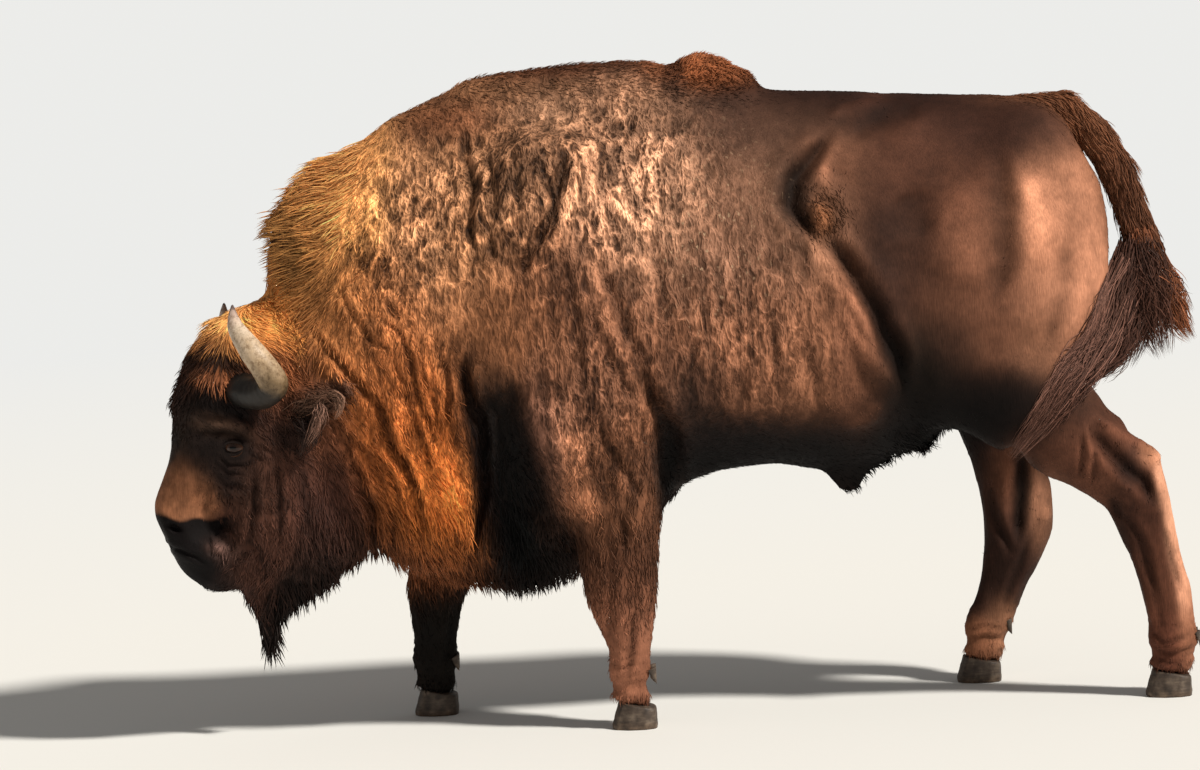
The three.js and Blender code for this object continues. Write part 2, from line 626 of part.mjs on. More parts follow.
// For each leg: the region it fills, the middle of its foot, the box it lies in, the cut at its
// knee or hock, and the x and z of its dewclaws.
const FEET = [
  {
    name: "foreleg_left", side: LEFT, region: FORE_LEFT_REGION, x: -116,
    low: -380, high: 160, top: 760, knee: plane(0, 0, 400, 0, 0, -1), dew: [-58, 140],
  },
  {
    name: "foreleg_right", side: RIGHT, region: FORE_RIGHT_REGION, x: -668,
    low: -800, high: -240, top: 720, knee: plane(-645, 0, 390, 0.2, 0, -1), dew: [-604, 140],
  },
  {
    name: "hindleg_left", side: LEFT, region: HIND_LEFT_REGION, x: 1342,
    low: 960, high: 1480, top: 960, knee: plane(1300, 0, 560, 0.2, 0, -1), dew: [1425, 150],
  },
  {
    name: "hindleg_right", side: RIGHT, region: HIND_RIGHT_REGION, x: 858,
    low: 680, high: 1180, top: 860, knee: plane(1005, 0, 480, -0.3, 0, -1), dew: [948, 148],
  },
];

for (const foot of FEET) {
  const y = foot.side * LEG_OFFSET;
  const sides = [foot.side * 425, foot.side * 15].sort((a, b) => a - b);
  const shape = facets(body, [foot.low, sides[0], 10], [foot.high, sides[1], foot.top], [56, 54, 82]);
  const coronet = plane(foot.x, 0, CORONET_HEIGHT, -CORONET_SLOPE, 0, -1);
  const whole = keep(keep(toSolid(shape), foot.region), [coronet]);
  add(foot.name + "_upper", keep(whole, [foot.knee]), BROWN_COAT);
  add(foot.name + "_lower", keep(whole, behind([foot.knee])), BROWN_COAT);
  const legSkin = swollen(shape);
  for (const [which, outer] of [["outer", foot.side], ["inner", -foot.side]]) {
    const [x, z] = foot.dew;
    const spur = dewclaw(x, y + outer * DEWCLAW_OFFSET, z).subtract(legSkin);
    add(foot.name + "_claw_" + which, claw(foot.x, y, outer), HOOF);
    add(foot.name + "_dewclaw_" + which, spur, HOOF);
  }
}

// ---- tail ----

const TAIL = chain([
  [1040, 0, 1612, 52], [1155, 0, 1600, 54], [1232, -4, 1530, 52], [1288, -8, 1436, 50],
  [1326, -14, 1322, 48], [1350, -20, 1235, 46], [1362, -24, 1150, 48],
], 24);
const TUFT_FLAT = 0.85;
const BACK_LOCK = chain([
  [1352, -26, 1200, 54], [1390, -32, 1091, 48], [1440, -36, 1006, 36], [1472, -38, 950, 26],
], 20, TUFT_FLAT);
const HANGING_LOCK = chain([
  [1330, -34, 1180, 54], [1300, -46, 1090, 66], [1296, -54, 1020, 56], [1272, -62, 890, 34],
], 20, TUFT_FLAT);
const SWEPT_LOCK = chain([
  [1300, -50, 1110, 54], [1256, -150, 1055, 48], [1208, -236, 1000, 42], [1156, -300, 950, 36],
  [1122, -330, 922, 28],
], 20);
const TAIL_TUFT = joinAll([BACK_LOCK, HANGING_LOCK, SWEPT_LOCK], 30);
const TUFT_CUT = [plane(1350, 0, 1150, 0.2, 0, -1)];
const tailFacets = facets(TAIL, [980, -90, 1080], [1440, 90, 1690], [58, 50, 62]);
add("tail_dock", keep(toSolid(tailFacets), TUFT_CUT).subtract(rearSkin), BROWN_COAT);
const tuftFacets = facets(TAIL_TUFT, [1060, -390, 820], [1510, 60, 1260], [46, 44, 52]);
add("tail_tuft", keep(toSolid(tuftFacets), behind(TUFT_CUT)).subtract(rearSkin), DARK_COAT);

// ---- a pad of winter wool not yet shed from the back ----

const WOOL = joinAll(
  [ellipsoid([160, -10, 1772], [84, 110, 56]), ellipsoid([266, -14, 1730], [88, 120, 54])],
  30,
);
const woolFacets = facets(WOOL, [40, -150, 1640], [370, 130, 1850], [66, 64, 54]);
add("winter_wool", toSolid(woolFacets).subtract(barrelSkin), WINTER_WOOL);

// ---- the group stands on its soles, its middle at the origin ----

root.updateMatrixWorld(true);
const bounds = new THREE.Box3().setFromObject(root, true);
root.position.set(-(bounds.min.x + bounds.max.x) / 2, -(bounds.min.y + bounds.max.y) / 2, -bounds.min.z);

export default root;
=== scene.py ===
import math
import bpy
import bmesh
import numpy as np
from mathutils import Matrix, Vector
from mathutils.bvhtree import BVHTree
from mathutils.kdtree import KDTree


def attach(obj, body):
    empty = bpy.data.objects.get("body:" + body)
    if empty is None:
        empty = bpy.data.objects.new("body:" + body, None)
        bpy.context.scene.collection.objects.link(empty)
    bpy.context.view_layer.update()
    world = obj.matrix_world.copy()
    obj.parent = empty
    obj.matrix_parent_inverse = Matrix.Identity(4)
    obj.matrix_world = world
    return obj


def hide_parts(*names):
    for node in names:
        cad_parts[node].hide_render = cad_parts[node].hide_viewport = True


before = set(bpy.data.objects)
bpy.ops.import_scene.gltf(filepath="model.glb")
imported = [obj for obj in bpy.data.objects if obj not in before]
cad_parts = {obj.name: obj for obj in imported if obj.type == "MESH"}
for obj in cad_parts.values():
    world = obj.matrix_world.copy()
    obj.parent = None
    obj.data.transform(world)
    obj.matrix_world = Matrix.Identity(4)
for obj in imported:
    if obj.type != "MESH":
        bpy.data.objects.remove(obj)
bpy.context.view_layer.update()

# A European bison bull.  It faces -X, and its left side is -Y.  Tables of places are in
# millimetres in the drawing's frame; "place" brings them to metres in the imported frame.
# In the functions p is points in metres, n their normals, q points in the head's frame.
MM = 1000
SHIFT = np.array([-0.0458, 0.0076, 0.0])
SIDES = (-1, 1)
SKIN_CELL = 0.0088
CLAW_CELL = 0.0034
GROWTH = 0.0012  # how far a CAD node is grown, so that neighbours overlap and join
LEG_NAMES = ("foreleg_left", "foreleg_right", "hindleg_left", "hindleg_right")

FLESH = ["neck", "forequarters", "barrel", "hindquarters", "head", "lower_jaw", "tail_dock",
         "ear_left", "ear_right"]
LEGS = [leg + part for leg in LEG_NAMES for part in ("_upper", "_lower")]
# Nodes of long hair, and how deep in each the skin's core lies, in metres.
HAIR = {"brisket_fringe": 0.016, "sheath": 0.014, "beard": 0.013, "forelock": 0.016,
        "winter_wool": 0.014}


def place(points):
    return np.asarray(points, float) / MM + SHIFT


def drawn(p):
    return (p - SHIFT) * MM


def side_view(p):
    return (p[:, 0] - SHIFT[0]) * MM, p[:, 2] * MM


# ---------------------------------------------------------------- the head's own frame
# u runs down the face, v out of the forehead, w to the animal's left, in mm from the poll.
POLL = np.array([-1180.0, 0, 1115])
PIVOT = np.array([-900.0, 0, 1000])
SLOPE = 0.434
HEAD_AXES = np.array([[-math.sin(SLOPE), 0, -math.cos(SLOPE)],
                      [-math.cos(SLOPE), 0, math.sin(SLOPE)],
                      [0, -1, 0]]).T
HEAD_TURN = np.array(Matrix.Rotation(0.12, 3, "Z") @ Matrix.Rotation(-0.07, 3, "X"))


def from_head(q):
    return place(PIVOT + (POLL - PIVOT + q @ HEAD_AXES.T) @ HEAD_TURN.T)


def to_head(p):
    return ((drawn(p) - PIVOT) @ HEAD_TURN - (POLL - PIVOT)) @ HEAD_AXES


# ---------------------------------------------------------------- the camera
CAMERA_TARGET = np.array([-0.155, 0, 0.92]) + SHIFT
CAMERA_DISTANCE = 14
CAMERA_ELEVATION = math.radians(6)
CAMERA_ROLL = math.radians(3.5)
CAMERA_LENS = 152.7


def add_object(name, data):
    made = bpy.data.objects.new(name, data)
    bpy.context.scene.collection.objects.link(made)
    return made


def camera():
    back = np.array([0, -math.cos(CAMERA_ELEVATION), math.sin(CAMERA_ELEVATION)])
    right = np.array([1.0, 0, 0])
    up = np.array([0, math.sin(CAMERA_ELEVATION), math.cos(CAMERA_ELEVATION)])
    side = right * math.cos(CAMERA_ROLL) - up * math.sin(CAMERA_ROLL)
    head = right * math.sin(CAMERA_ROLL) + up * math.cos(CAMERA_ROLL)
    data = bpy.data.cameras.new("camera")
    data.lens = CAMERA_LENS
    data.sensor_width = 36
    data.clip_end = 100
    eye = add_object("camera", data)
    turn = Matrix(np.stack([side, head, back], axis=1).tolist()).to_4x4()
    eye.matrix_world = Matrix.Translation(Vector(CAMERA_TARGET + CAMERA_DISTANCE * back)) @ turn
    bpy.context.scene.camera = eye


# ---------------------------------------------------------------- small tools
def smoothstep(a, b, x):
    t = np.clip((x - a) / (b - a), 0, 1)
    return t * t * (3 - 2 * t)


def bell(*offsets, power=1):
    """1 where the offsets are 0, falling to nothing a little past 1."""
    return np.exp(-sum(offset ** 2 for offset in offsets) ** power)


def unit(v):
    return v / np.maximum(np.linalg.norm(v, axis=-1, keepdims=True), 1e-9)


def flat_floats(values):
    return np.ascontiguousarray(values, np.float32).ravel()


def mesh_from(name, points, faces):
    """A smooth mesh from arrays; faces is one (n, 3) array."""
    mesh = bpy.data.meshes.new(name)
    mesh.vertices.add(len(points))
    mesh.vertices.foreach_set("co", flat_floats(points))
    mesh.loops.add(faces.size)
    mesh.loops.foreach_set("vertex_index", np.ascontiguousarray(faces, np.int32).ravel())
    mesh.polygons.add(len(faces))
    mesh.polygons.foreach_set("loop_start", np.arange(0, faces.size, 3, dtype=np.int32))
    mesh.update(calc_edges=True)
    mesh.polygons.foreach_set("use_smooth", np.ones(len(faces), bool))
    return mesh


def read_floats(items, key):
    values = np.empty(len(items) * 3, np.float32)
    items.foreach_get(key, values)
    return values.reshape(-1, 3).astype(float)


def points_of(mesh):
    return read_floats(mesh.vertices, "co")


def normals_of(mesh):
    return read_floats(mesh.vertex_normals, "vector")


def read_indices(items, key, width):
    values = np.empty(len(items) * width, np.int32)
    items.foreach_get(key, values)
    return values.reshape(-1, width)


def edges_of(mesh):
    return read_indices(mesh.edges, "vertices", 2)


def set_points(mesh, points):
    mesh.vertices.foreach_set("co", flat_floats(points))
    mesh.update()


def paint(mesh, name, rgb):
    """Stores a colour, or any three numbers, at each point."""
    rgba = np.concatenate([rgb, np.ones((len(rgb), 1))], axis=1)
    layer = mesh.color_attributes.new(name, "FLOAT_COLOR", "POINT")
    layer.data.foreach_set("color", flat_floats(rgba))


def select_only(piece):
    bpy.ops.object.select_all(action="DESELECT")
    bpy.context.view_layer.objects.active = piece
    piece.select_set(True)


def declare(piece, slot, *nodes):
    """Every piece rides on the one body and may stand for nodes, whose CAD parts it hides; slot is
    not used.
    """
    if nodes:
        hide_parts(*nodes)
    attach(piece, "root")


def relax(points, edges, steps, weight, keep=0.0):
    """Laplacian steps; keep > 0 gives volume back after each step."""
    n = len(points)
    degree = np.bincount(edges.ravel(), minlength=n).astype(float)[:, None]
    a, b = edges[:, 0], edges[:, 1]
    weight = np.broadcast_to(np.asarray(weight, float), (n,))[:, None]

    def pull(p, w):
        mean = np.empty_like(p)
        for k in range(3):
            mean[:, k] = (np.bincount(a, p[b, k], minlength=n)
                          + np.bincount(b, p[a, k], minlength=n))
        return p + w * (mean / degree - p)

    for _ in range(steps):
        points = pull(points, weight)
        if keep:
            points = pull(points, -keep * weight)
    return points


def lattice(cell, seed):
    """A repeatable number from 0 to 1 for each whole-number cell."""
    h = np.int64(seed * 2654435761)
    for axis, prime in enumerate((73856093, 19349663, 83492791)):
        h = h ^ (cell[..., axis].astype(np.int64) * prime)
    h = (h ^ (h >> 13)) * 1274126177 & 0xFFFFFFFF
    h = (h ^ (h >> 16)) * 2246822519 & 0xFFFFFFFF
    return ((h >> 8) & 0xFFFF) / 65535.0


def noise(p, size, seed=1):
    """Smooth noise from -1 to 1 whose lumps are about size across, which may be 3 numbers."""
    q = p / np.asarray(size, float)
    cell = np.floor(q)
    t = q - cell
    t = t * t * (3 - 2 * t)
    total = np.zeros(len(p))
    for corner in range(8):
        o = np.array([corner & 1, corner >> 1 & 1, corner >> 2 & 1])
        w = np.prod(np.where(o, t, 1 - t), axis=1)
        total += w * lattice(cell + o, seed)
    return 2 * total - 1


def drift(p, size, *seeds):
    """A noise for each seed, as columns."""
    return np.stack([noise(p, size, seed) for seed in seeds], axis=1)


def away(p, line):
    """Distance from each point to a polyline, and how far along it that is, from 0 to 1."""
    line = np.asarray(line, float)
    spans = np.diff(line, axis=0)
    lengths = np.linalg.norm(spans, axis=1)
    start = np.concatenate([[0], np.cumsum(lengths)])
    best = np.full(len(p), np.inf)
    along = np.zeros(len(p))
    for a, d, l, s in zip(line[:-1], spans, lengths, start):
        r = p - a
        t = np.clip(r @ d / l ** 2, 0, 1)
        dist = np.linalg.norm(r - t[:, None] * d, axis=1)
        near = dist < best
        best[near] = dist[near]
        along[near] = (s + t[near] * l) / start[-1]
    return best, along


def around(flat, line, width):
    """The points of a flat view that may be near a polyline."""
    low = np.min(line, axis=0) - 4 * width
    high = np.max(line, axis=0) + 4 * width
    return np.all((flat > low) & (flat < high), axis=1)


# ---------------------------------------------------------------- the skin's form
def grown(node, amount):
    """A CAD node's points and triangles, moved along the normals by amount."""
    bm = bmesh.new()
    bm.from_mesh(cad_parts[node].data)
    bmesh.ops.remove_doubles(bm, verts=bm.verts, dist=1e-5)
    bmesh.ops.triangulate(bm, faces=bm.faces)
    bm.normal_update()
    points = np.array([v.co + amount * v.normal for v in bm.verts])
    bm.verts.index_update()
    faces = np.array([[v.index for v in f.verts] for f in bm.faces])
    bm.free()
    return points, faces


def fused(name, parts, cell):
    """Overlapping parts, as one closed surface of even cells."""
    start = 0
    points, faces = [], []
    for part_points, part_faces in parts:
        points.append(part_points)
        faces.append(part_faces + start)
        start += len(part_points)
    piece = add_object(name, mesh_from(name, np.concatenate(points), np.concatenate(faces)))
    select_only(piece)
    piece.data.remesh_voxel_size = cell
    bpy.ops.object.voxel_remesh()
    return piece


def finer(mesh, chosen):
    """Splits the faces whose corners are all chosen."""
    bm = bmesh.new()
    bm.from_mesh(mesh)
    bm.verts.ensure_lookup_table()
    edges = {e for f in bm.faces if all(chosen[v.index] for v in f.verts) for e in f.edges}
    bmesh.ops.subdivide_edges(bm, edges=list(edges), cuts=1, use_grid_fill=True)
    bm.to_mesh(mesh)
    bm.free()


def legness(p):
    """1 on the legs, 0 on the trunk and head."""
    return 1 - smoothstep(0.55, 0.68, p[:, 2])


# Folds, creases and hollows of the trunk, seen from the side: width, depth, then x, z of
# each point.  A depth above 0 goes in, below 0 stands out.  The far side's are a little moved.
FOLDS = [
    (13, 15, -930, 1140, -900, 1099, -834, 1023, -767, 947, -738, 855, -707, 781, -676, 707, -663,
     625),
    (17, 12, -690, 745, -672, 690, -666, 620, -676, 545),
    (10, 11, -753, 1171, -685, 1113, -654, 1039, -642, 957, -620, 875, -590, 792, -541, 717, -513,
     661),
    (9, 8, -720, 1070, -704, 1033, -677, 969, -664, 887, -642, 813, -618, 740),
    (10, 9, -880, 900, -862, 872, -812, 815, -779, 768, -765, 700),
    (9, 8, -640, 1030, -615, 956, -602, 883, -580, 800, -539, 735),
    (15, 14, -832, 780, -820, 698, -796, 651, -791, 588, -793, 540),
    (11, 8, -752, 660, -746, 585, -753, 530),
    (9, 6, -828, 1247, -781, 1289, -733, 1350),
    (8, 5, -870, 1200, -848, 1231, -798, 1290, -768, 1342),
    (9, 8, -840, 1250, -821, 1210, -807, 1165, -775, 1110, -697, 1060),
    (9, 8, -590, 1080, -575, 1025, -561, 952, -557, 860),
    (9, 7, -802, 823, -761, 767, -722, 683, -700, 600),
    (10, 8, -950, 1000, -900, 930, -862, 850, -840, 760),
    (22, -7, -730, 960, -705, 870, -680, 800),
    (22, -7, -600, 850, -575, 760, -560, 660),
    (20, -6, -900, 1060, -860, 1010, -815, 960),
    (18, 34, -520, 1040, -505, 931, -490, 795, -495, 659, -530, 510),
    (62, 44, -455, 953, -440, 789, -420, 598, -400, 480),
    (40, 20, -395, 990, -385, 840, -365, 700, -310, 560),
    (50, -16, -262, 930, -262, 820, -250, 720, -205, 580),
    (15, 12, -478, 1640, -486, 1575, -470, 1500, -486, 1420, -470, 1340),
    (17, 18, -205, 1590, -225, 1530, -262, 1430, -305, 1345, -352, 1258),
    (11, 7, -420, 1600, -405, 1480, -430, 1370, -415, 1270),
    (11, 7, -350, 1580, -345, 1470, -370, 1370),
    (12, 7, -130, 1600, -120, 1490, -100, 1380, -70, 1290),
    (13, 6, -30, 1640, -25, 1530, 0, 1430),
    (13, 6, 85, 1660, 80, 1540, 100, 1420),
    (32, -10, -180, 1540, -215, 1420, -262, 1320),
    (15, 8, -240, 1325, -211, 1135, -208, 972),
    (17, 13, -135, 1291, -79, 1100, -26, 948, 0, 820),
    (14, 8, -185, 1180, -120, 1020, -70, 900),
    (20, 8, 17, 1363, 33, 1174, 63, 1010),
    (16, 5, 60, 1300, 78, 1150, 110, 980),
    (26, 26, -25, 957, 12, 847, 16, 711, -6, 576),
    (12, 13, -117, 604, -109, 554, -123, 506),
    (12, 7, -48, 946, -50, 851, -36, 768),
    (13, 9, -166, 899, -151, 803, -102, 719, -66, 635),
    (23, 23, 492, 1576, 452, 1530, 405, 1478, 384, 1415, 408, 1362, 436, 1316),
    (26, -10, 480, 1500, 472, 1440),
    (20, -15, 455, 1400, 474, 1365, 455, 1325),
    (26, -12, 426, 1332, 454, 1255, 516, 1170, 571, 1045, 610, 935, 629, 871),
    (27, 22, 480, 1320, 545, 1200, 600, 1090, 645, 980, 672, 880),
    (12, 7, 470, 1230, 530, 1110, 575, 990),
    (46, 8, 695, 1420, 725, 1350, 745, 1300),
    (22, -9, 500, 1625, 620, 1662, 700, 1692),
    (30, 8, 560, 1585, 660, 1610, 760, 1640),
    (34, 9, 965, 1500, 962, 1385, 945, 1225, 925, 1110),
    (60, -9, 1030, 1450, 1040, 1330, 1040, 1200),
    (70, -9, 860, 1440, 840, 1300, 830, 1150),
    (26, 6, 1120, 1250, 1100, 1120, 1050, 980),
    (24, -8, 600, 855, 560, 815, 500, 800),
    (14, 5, 300, 1130, 320, 960, 345, 830),
    (13, 5, 380, 1130, 410, 960, 440, 830),
    (14, 5, 210, 1130, 225, 960, 250, 840),
]

# The same on the outer face of one leg: first its side (-1 is the left).
LEG_FOLDS = [
    (-1, 20, 19, 1165, 745, 1213, 681, 1251, 640, 1296, 600, 1320, 540),
    (-1, 15, -9, 1177, 780, 1256, 722, 1325, 676),
    (-1, 22, -7, 1334, 668, 1338, 640),
    (-1, 8, -6, 1145, 760, 1150, 685, 1142, 613),
    (-1, 8, 5, 1128, 740, 1132, 680, 1126, 620),
    (-1, 8, 5, 1166, 700, 1166, 650, 1160, 610),
    (-1, 13, 9, 1206, 557, 1229, 500),
    (-1, 11, 8, 1245, 504, 1282, 440, 1299, 366, 1312, 300),
    (-1, 12, -6, 1261, 420, 1287, 315, 1311, 190),
    (-1, 10, 7, 1340, 480, 1365, 380, 1385, 290),
    (-1, 30, -6, 1360, 150, 1380, 120),
    (-1, 7, 6, 1300, 180, 1330, 150, 1400, 170),
    (-1, 7, 6, 1300, 140, 1340, 118, 1410, 132),
    (-1, 6, 5, 1310, 106, 1350, 92, 1400, 102),
    (1, 20, 20, 1014, 640, 1005, 558, 990, 484, 981, 410),
    (1, 14, -7, 975, 698, 961, 600, 950, 520),
    (1, 12, 8, 915, 563, 921, 478, 958, 369),
    (1, 18, -8, 1064, 490, 1067, 442),
    (1, 11, 7, 1010, 400, 980, 320, 930, 210),
    (1, 7, 6, 835, 118, 881, 128, 933, 112),
    (1, 7, 5, 830, 150, 880, 160, 930, 146),
    (-1, 12, 7, -100, 330, -112, 230, -130, 150),
    (-1, 12, 6, -150, 420, -160, 330, -175, 250),
    (-1, 22, -6, -60, 400, -66, 330),
    (-1, 7, 4, -180, 190, -140, 172, -100, 182),
    (1, 12, 6, -600, 300, -615, 220, -632, 150),
]


def crease(p, line, width, depth, jitter, seed):
    """How far in each point goes for one fold, by its side view."""
    flat = p[:, [0, 2]] * MM - SHIFT[[0, 2]] * MM
    near = np.flatnonzero(around(flat, line, width))
    out = np.zeros(len(p))
    if not len(near):
        return out
    here = p[near]
    wander = np.stack([noise(here, 0.10, seed) + 0.6 * noise(here, 0.035, seed + 2),
                       noise(here, 0.10, seed + 1)], axis=1)
    gap, along = away(flat[near] + jitter * wander, line)
    w = width * (0.55 + 0.45 * np.sin(np.pi * np.clip(along, 0.05, 0.95)))
    ends = smoothstep(0, 0.22, along + 0.06) * smoothstep(0, 0.22, 1.06 - along)
    hollow = np.exp(-(gap / w) ** 2) - 0.30 * np.exp(-((gap - 2.1 * w) / w) ** 2)
    out[near] = depth * hollow * ends
    return out


def folded(p):
    """The depth in millimetres of all the folds of the trunk and legs at each point."""
    total = np.zeros(len(p))
    for sign in SIDES:
        on = np.flatnonzero(np.sign(p[:, 1]) == sign)
        here = p[on]
        depth = np.zeros(len(on))
        for k, (width, deep, *line) in enumerate(FOLDS):
            line = np.reshape(line, (-1, 2)).astype(float)
            if sign < 0:
                depth += crease(here, line, width, deep, 9, 40 + 3 * k)
            else:
                line = line + [9 * math.sin(k), 8 * math.cos(2 * k)]
                depth += crease(here, line, width, deep, 16, 340 + 3 * k)
        depth *= smoothstep(-1.06, -0.97, here[:, 0])
        for k, (side, width, deep, *line) in enumerate(LEG_FOLDS):
            if side == sign:
                depth += crease(here, np.reshape(line, (-1, 2)), width, deep, 3, 140 + k)
        total[on] = depth
    return total


def crinkles(p):
    """The net of fine wrinkles, from -1 in a furrow to 1 on a crest, and its strength."""
    x, z = side_view(p)
    hump = bell((x + 380) / 330, (z - 1450) / 260) \
        + 0.9 * bell((x + 30) / 210, (z - 1520) / 240) \
        + 0.7 * bell((x + 740) / 170, (z - 1300) / 260)
    hump, off_hump = np.clip(hump, 0, 1), 1 - np.clip(hump, 0, 1)
    ribs = bell((x - 240) / 250, (z - 1080) / 270)
    arm = 0.9 * bell((x + 190) / 200, (z - 900) / 330) \
        + 0.7 * bell((x + 650) / 170, (z - 880) / 330)
    warp = 0.014 * drift(p, 0.07, 5, 6, 7)
    net = np.abs(noise(p + warp, (0.026, 0.034, 0.060), 8))
    coarse = np.abs(noise(p + warp, (0.058, 0.06, 0.095), 9))
    streak = np.abs(noise(p + 0.6 * warp, (0.023, 0.034, 0.24), 11))
    hump_net = 1 - 2.3 * np.minimum(net, 0.55) - 1.2 * coarse
    rib_net = 1 - 3.2 * np.minimum(streak, 0.5)
    on_ribs = 0.75 * np.clip(ribs, 0, 1) * off_hump
    on_arm = arm * off_hump
    strength = hump + on_ribs + on_arm
    pattern = hump * hump_net + on_ribs * rib_net + on_arm * 0.5 * (hump_net + rib_net)
    head = smoothstep(-1.04, -0.98, p[:, 0]) * smoothstep(0.55, 0.7, p[:, 2])
    return (np.clip(pattern / np.maximum(strength, 1e-3), -1, 1),
            np.clip(strength, 0, 1) * head)


def blotches(p):
    """Lumps of coat and muscle, stronger on the front of the body, and how much front it is."""
    stretched = p * [1, 1, 0.5] + 0.012 * noise(p, 0.09, 84)[:, None]
    front = smoothstep(0.25, -0.15, p[:, 0])
    strength = 0.25 + 0.75 * front
    lumps = 0.6 * noise(stretched, 0.052, 81) + 0.4 * noise(stretched, 0.022, 82)
    return strength * lumps, front


def tuck(p):
    """Draws the belly's underside in towards the middle below the ribs."""
    x, z = side_view(p)
    edge = np.interp(x, [-60, 40, 150, 300, 450, 600, 700], [930, 905, 850, 815, 800, 850, 980])
    along = smoothstep(-80, 60, x) * (1 - smoothstep(640, 760, x))
    under = smoothstep(-40, 230, edge - z) * along
    q = p.copy()
    q[:, 1] *= 1 - 0.42 * under
    return q


def wrinkles(p, n):
    """Crinkles, long folds of the neck's hair and rings round the fetlocks, in mm inwards."""
    x, z = side_view(p)
    pattern, strength = crinkles(p)
    lumps, front = blotches(p)
    total = -3.4 * pattern * strength - (1.2 + 2.6 * front) * lumps
    warp = 0.007 * drift(p, 0.07, 5, 6, 7)
    neck = np.clip(1.2 * bell((x + 690) / 160, (z - 850) / 300), 0, 1)
    slanted = p @ np.array([[0.93, 0, 0.37], [0, 1, 0], [-0.37, 0, 0.93]])
    total -= neck * 3.6 * (1 - np.abs(noise(slanted + warp, (0.034, 0.05, 0.26), 12)) * 2)
    feet = smoothstep(0.245, 0.20, p[:, 2]) * smoothstep(0.070, 0.10, p[:, 2])
    rings = np.sin(p[:, 2] * 1000 / 24 * 2 * np.pi + 2.6 * noise(p, 0.05, 13))
    total += feet * 2.8 * rings * (0.5 + 0.5 * noise(p, 0.09, 15))
    total += 7 * bell((z - 116) / 17) - 3 * bell((z - 160) / 22)
    total += (1 - smoothstep(0.5, 0.9, np.abs(n[:, 2]))) * 2.2 * noise(p, 0.13, 14)
    wool = bell((x - 215) / 100, (z - 1800) / 60, power=2)
    total -= wool * (7 + 8 * noise(p, 0.045, 16))
    return total * smoothstep(-1.04, -0.98, p[:, 0])


# ---------------------------------------------------------------- the head
EYE = np.array([266.0, -130, 137])
EYE_RADIUS = 27
LIDS_REACH = 62  # mm from the eye's centre where the lids have run out
LIPS = [(586, -60), (584, -100), (586, -140), (596, -178), (604, -200)]
NOSTRIL = np.array([531, -58, 60]), np.array([11, 22, 17]), 17
NOSTRIL_RIM = np.array([522, -62, 62]), np.array([24, 34, 24]), 4

# Soft hollows of both sides: centre u, v, w, radii, depth in mm; above 0 goes in.
FACE = np.array([
    (215, -38, 118, 24, 64, 40, -12),
    (238, -60, 128, 9, 62, 40, 7),
    (196, -60, 132, 8, 60, 40, 6),
    (300, -60, 120, 40, 34, 50, 9),
    (330, -125, 150, 46, 22, 50, 5),
    (352, -170, 150, 60, 28, 50, -5),
    (430, -95, 90, 70, 26, 50, 8),
    (430, -25, 55, 70, 30, 40, -4),
    (500, -150, 90, 26, 50, 40, 7),
    (548, -150, 86, 20, 34, 40, -5),
    (470, -250, 130, 90, 46, 60, -6),
    (400, -225, 150, 26, 70, 60, 5),
    (160, -130, 160, 40, 30, 60, 8),
    (560, -245, 70, 26, 40, 40, 5),
    (330, 0, 0, 90, 60, 40, 4),
], float)

# Folds of the face: width, depth, then u, v of each point.
FACE_FOLDS = [
    (6, 4, 176, -40, 186, -150),
    (7, 6, 262, -8, 246, -60, 232, -110, 240, -165),
    (13, -6, 240, -10, 222, -60, 205, -120, 200, -150),
    (5, 5, 300, -92, 316, -128, 306, -168, 286, -186),
    (5, 5, 318, -92, 336, -135, 324, -178),
    (6, 5, 350, -105, 366, -150, 352, -200),
    (7, 4, 385, -120, 400, -160, 398, -200),
    (6, 4, 250, -170, 240, -200, 250, -235),
    (6, 4, 268, -170, 268, -205, 280, -240),
    (9, 7, 243, -239, 312, -269, 396, -307, 472, -343),
    (10, 6, 219, -301, 296, -335, 370, -376, 442, -416),
    (9, 8, 312, -198, 389, -231, 453, -251, 500, -262),
    (12, 8, 200, -372, 288, -440, 352, -500),
    (12, 6, 470, -400, 504, -450),
    (10, 7, 481, -248, 521, -308, 572, -350),
    (7, 6, 481, -161, 478, -200, 507, -255),
    (6, 6, 518, -150, 556, -172, 566, -215),
    (15, -6, 545, -165, 540, -200, 546, -228),
    (14, -3, 350, -30, 400, -60, 450, -80),
    (10, 5, 380, -100, 430, -118, 480, -120),
]


def mirrored(point, side):
    return point * np.array([1, 1, side])


def eye_frame(side):
    """Centre, outward axis, slit axis and upward axis of one eye, in the head's frame."""
    out = unit(np.array([0.10, 0.30, side * 0.95]))
    slit = unit(np.array([-0.36, -0.93, 0.0]))
    slit = unit(slit - out * (slit @ out))
    up = np.cross(out, slit) * side
    return mirrored(EYE, side), out, slit, up * -np.sign(up[0])


def eye_distance(q, side):
    return np.linalg.norm(q - mirrored(EYE, side), axis=1)


def ball(q, centre, radii):
    """The square of each point's distance from a centre, in radii."""
    r = (q - centre) / radii
    return np.sum(r * r, axis=1)


def face_flat(p, q):
    return q[:, :2] + 5 * drift(p, 0.03, 61, 62)


def rounded_ends(along):
    return np.sin(np.pi * np.clip(along, 0.01, 0.99)) ** 0.5


def face_folds(p, q):
    """The depth of the face's folds, to shade its hair."""
    flat = face_flat(p, q)
    total = np.zeros(len(p))
    for width, depth, *line in FACE_FOLDS:
        line = np.reshape(line, (-1, 2))
        near = np.flatnonzero(around(flat, line, width) & (q[:, 2] > 40))
        if len(near):
            gap, along = away(flat[near], line)
            total[near] += depth * np.exp(-(gap / width) ** 2) * rounded_ends(along)
    return total


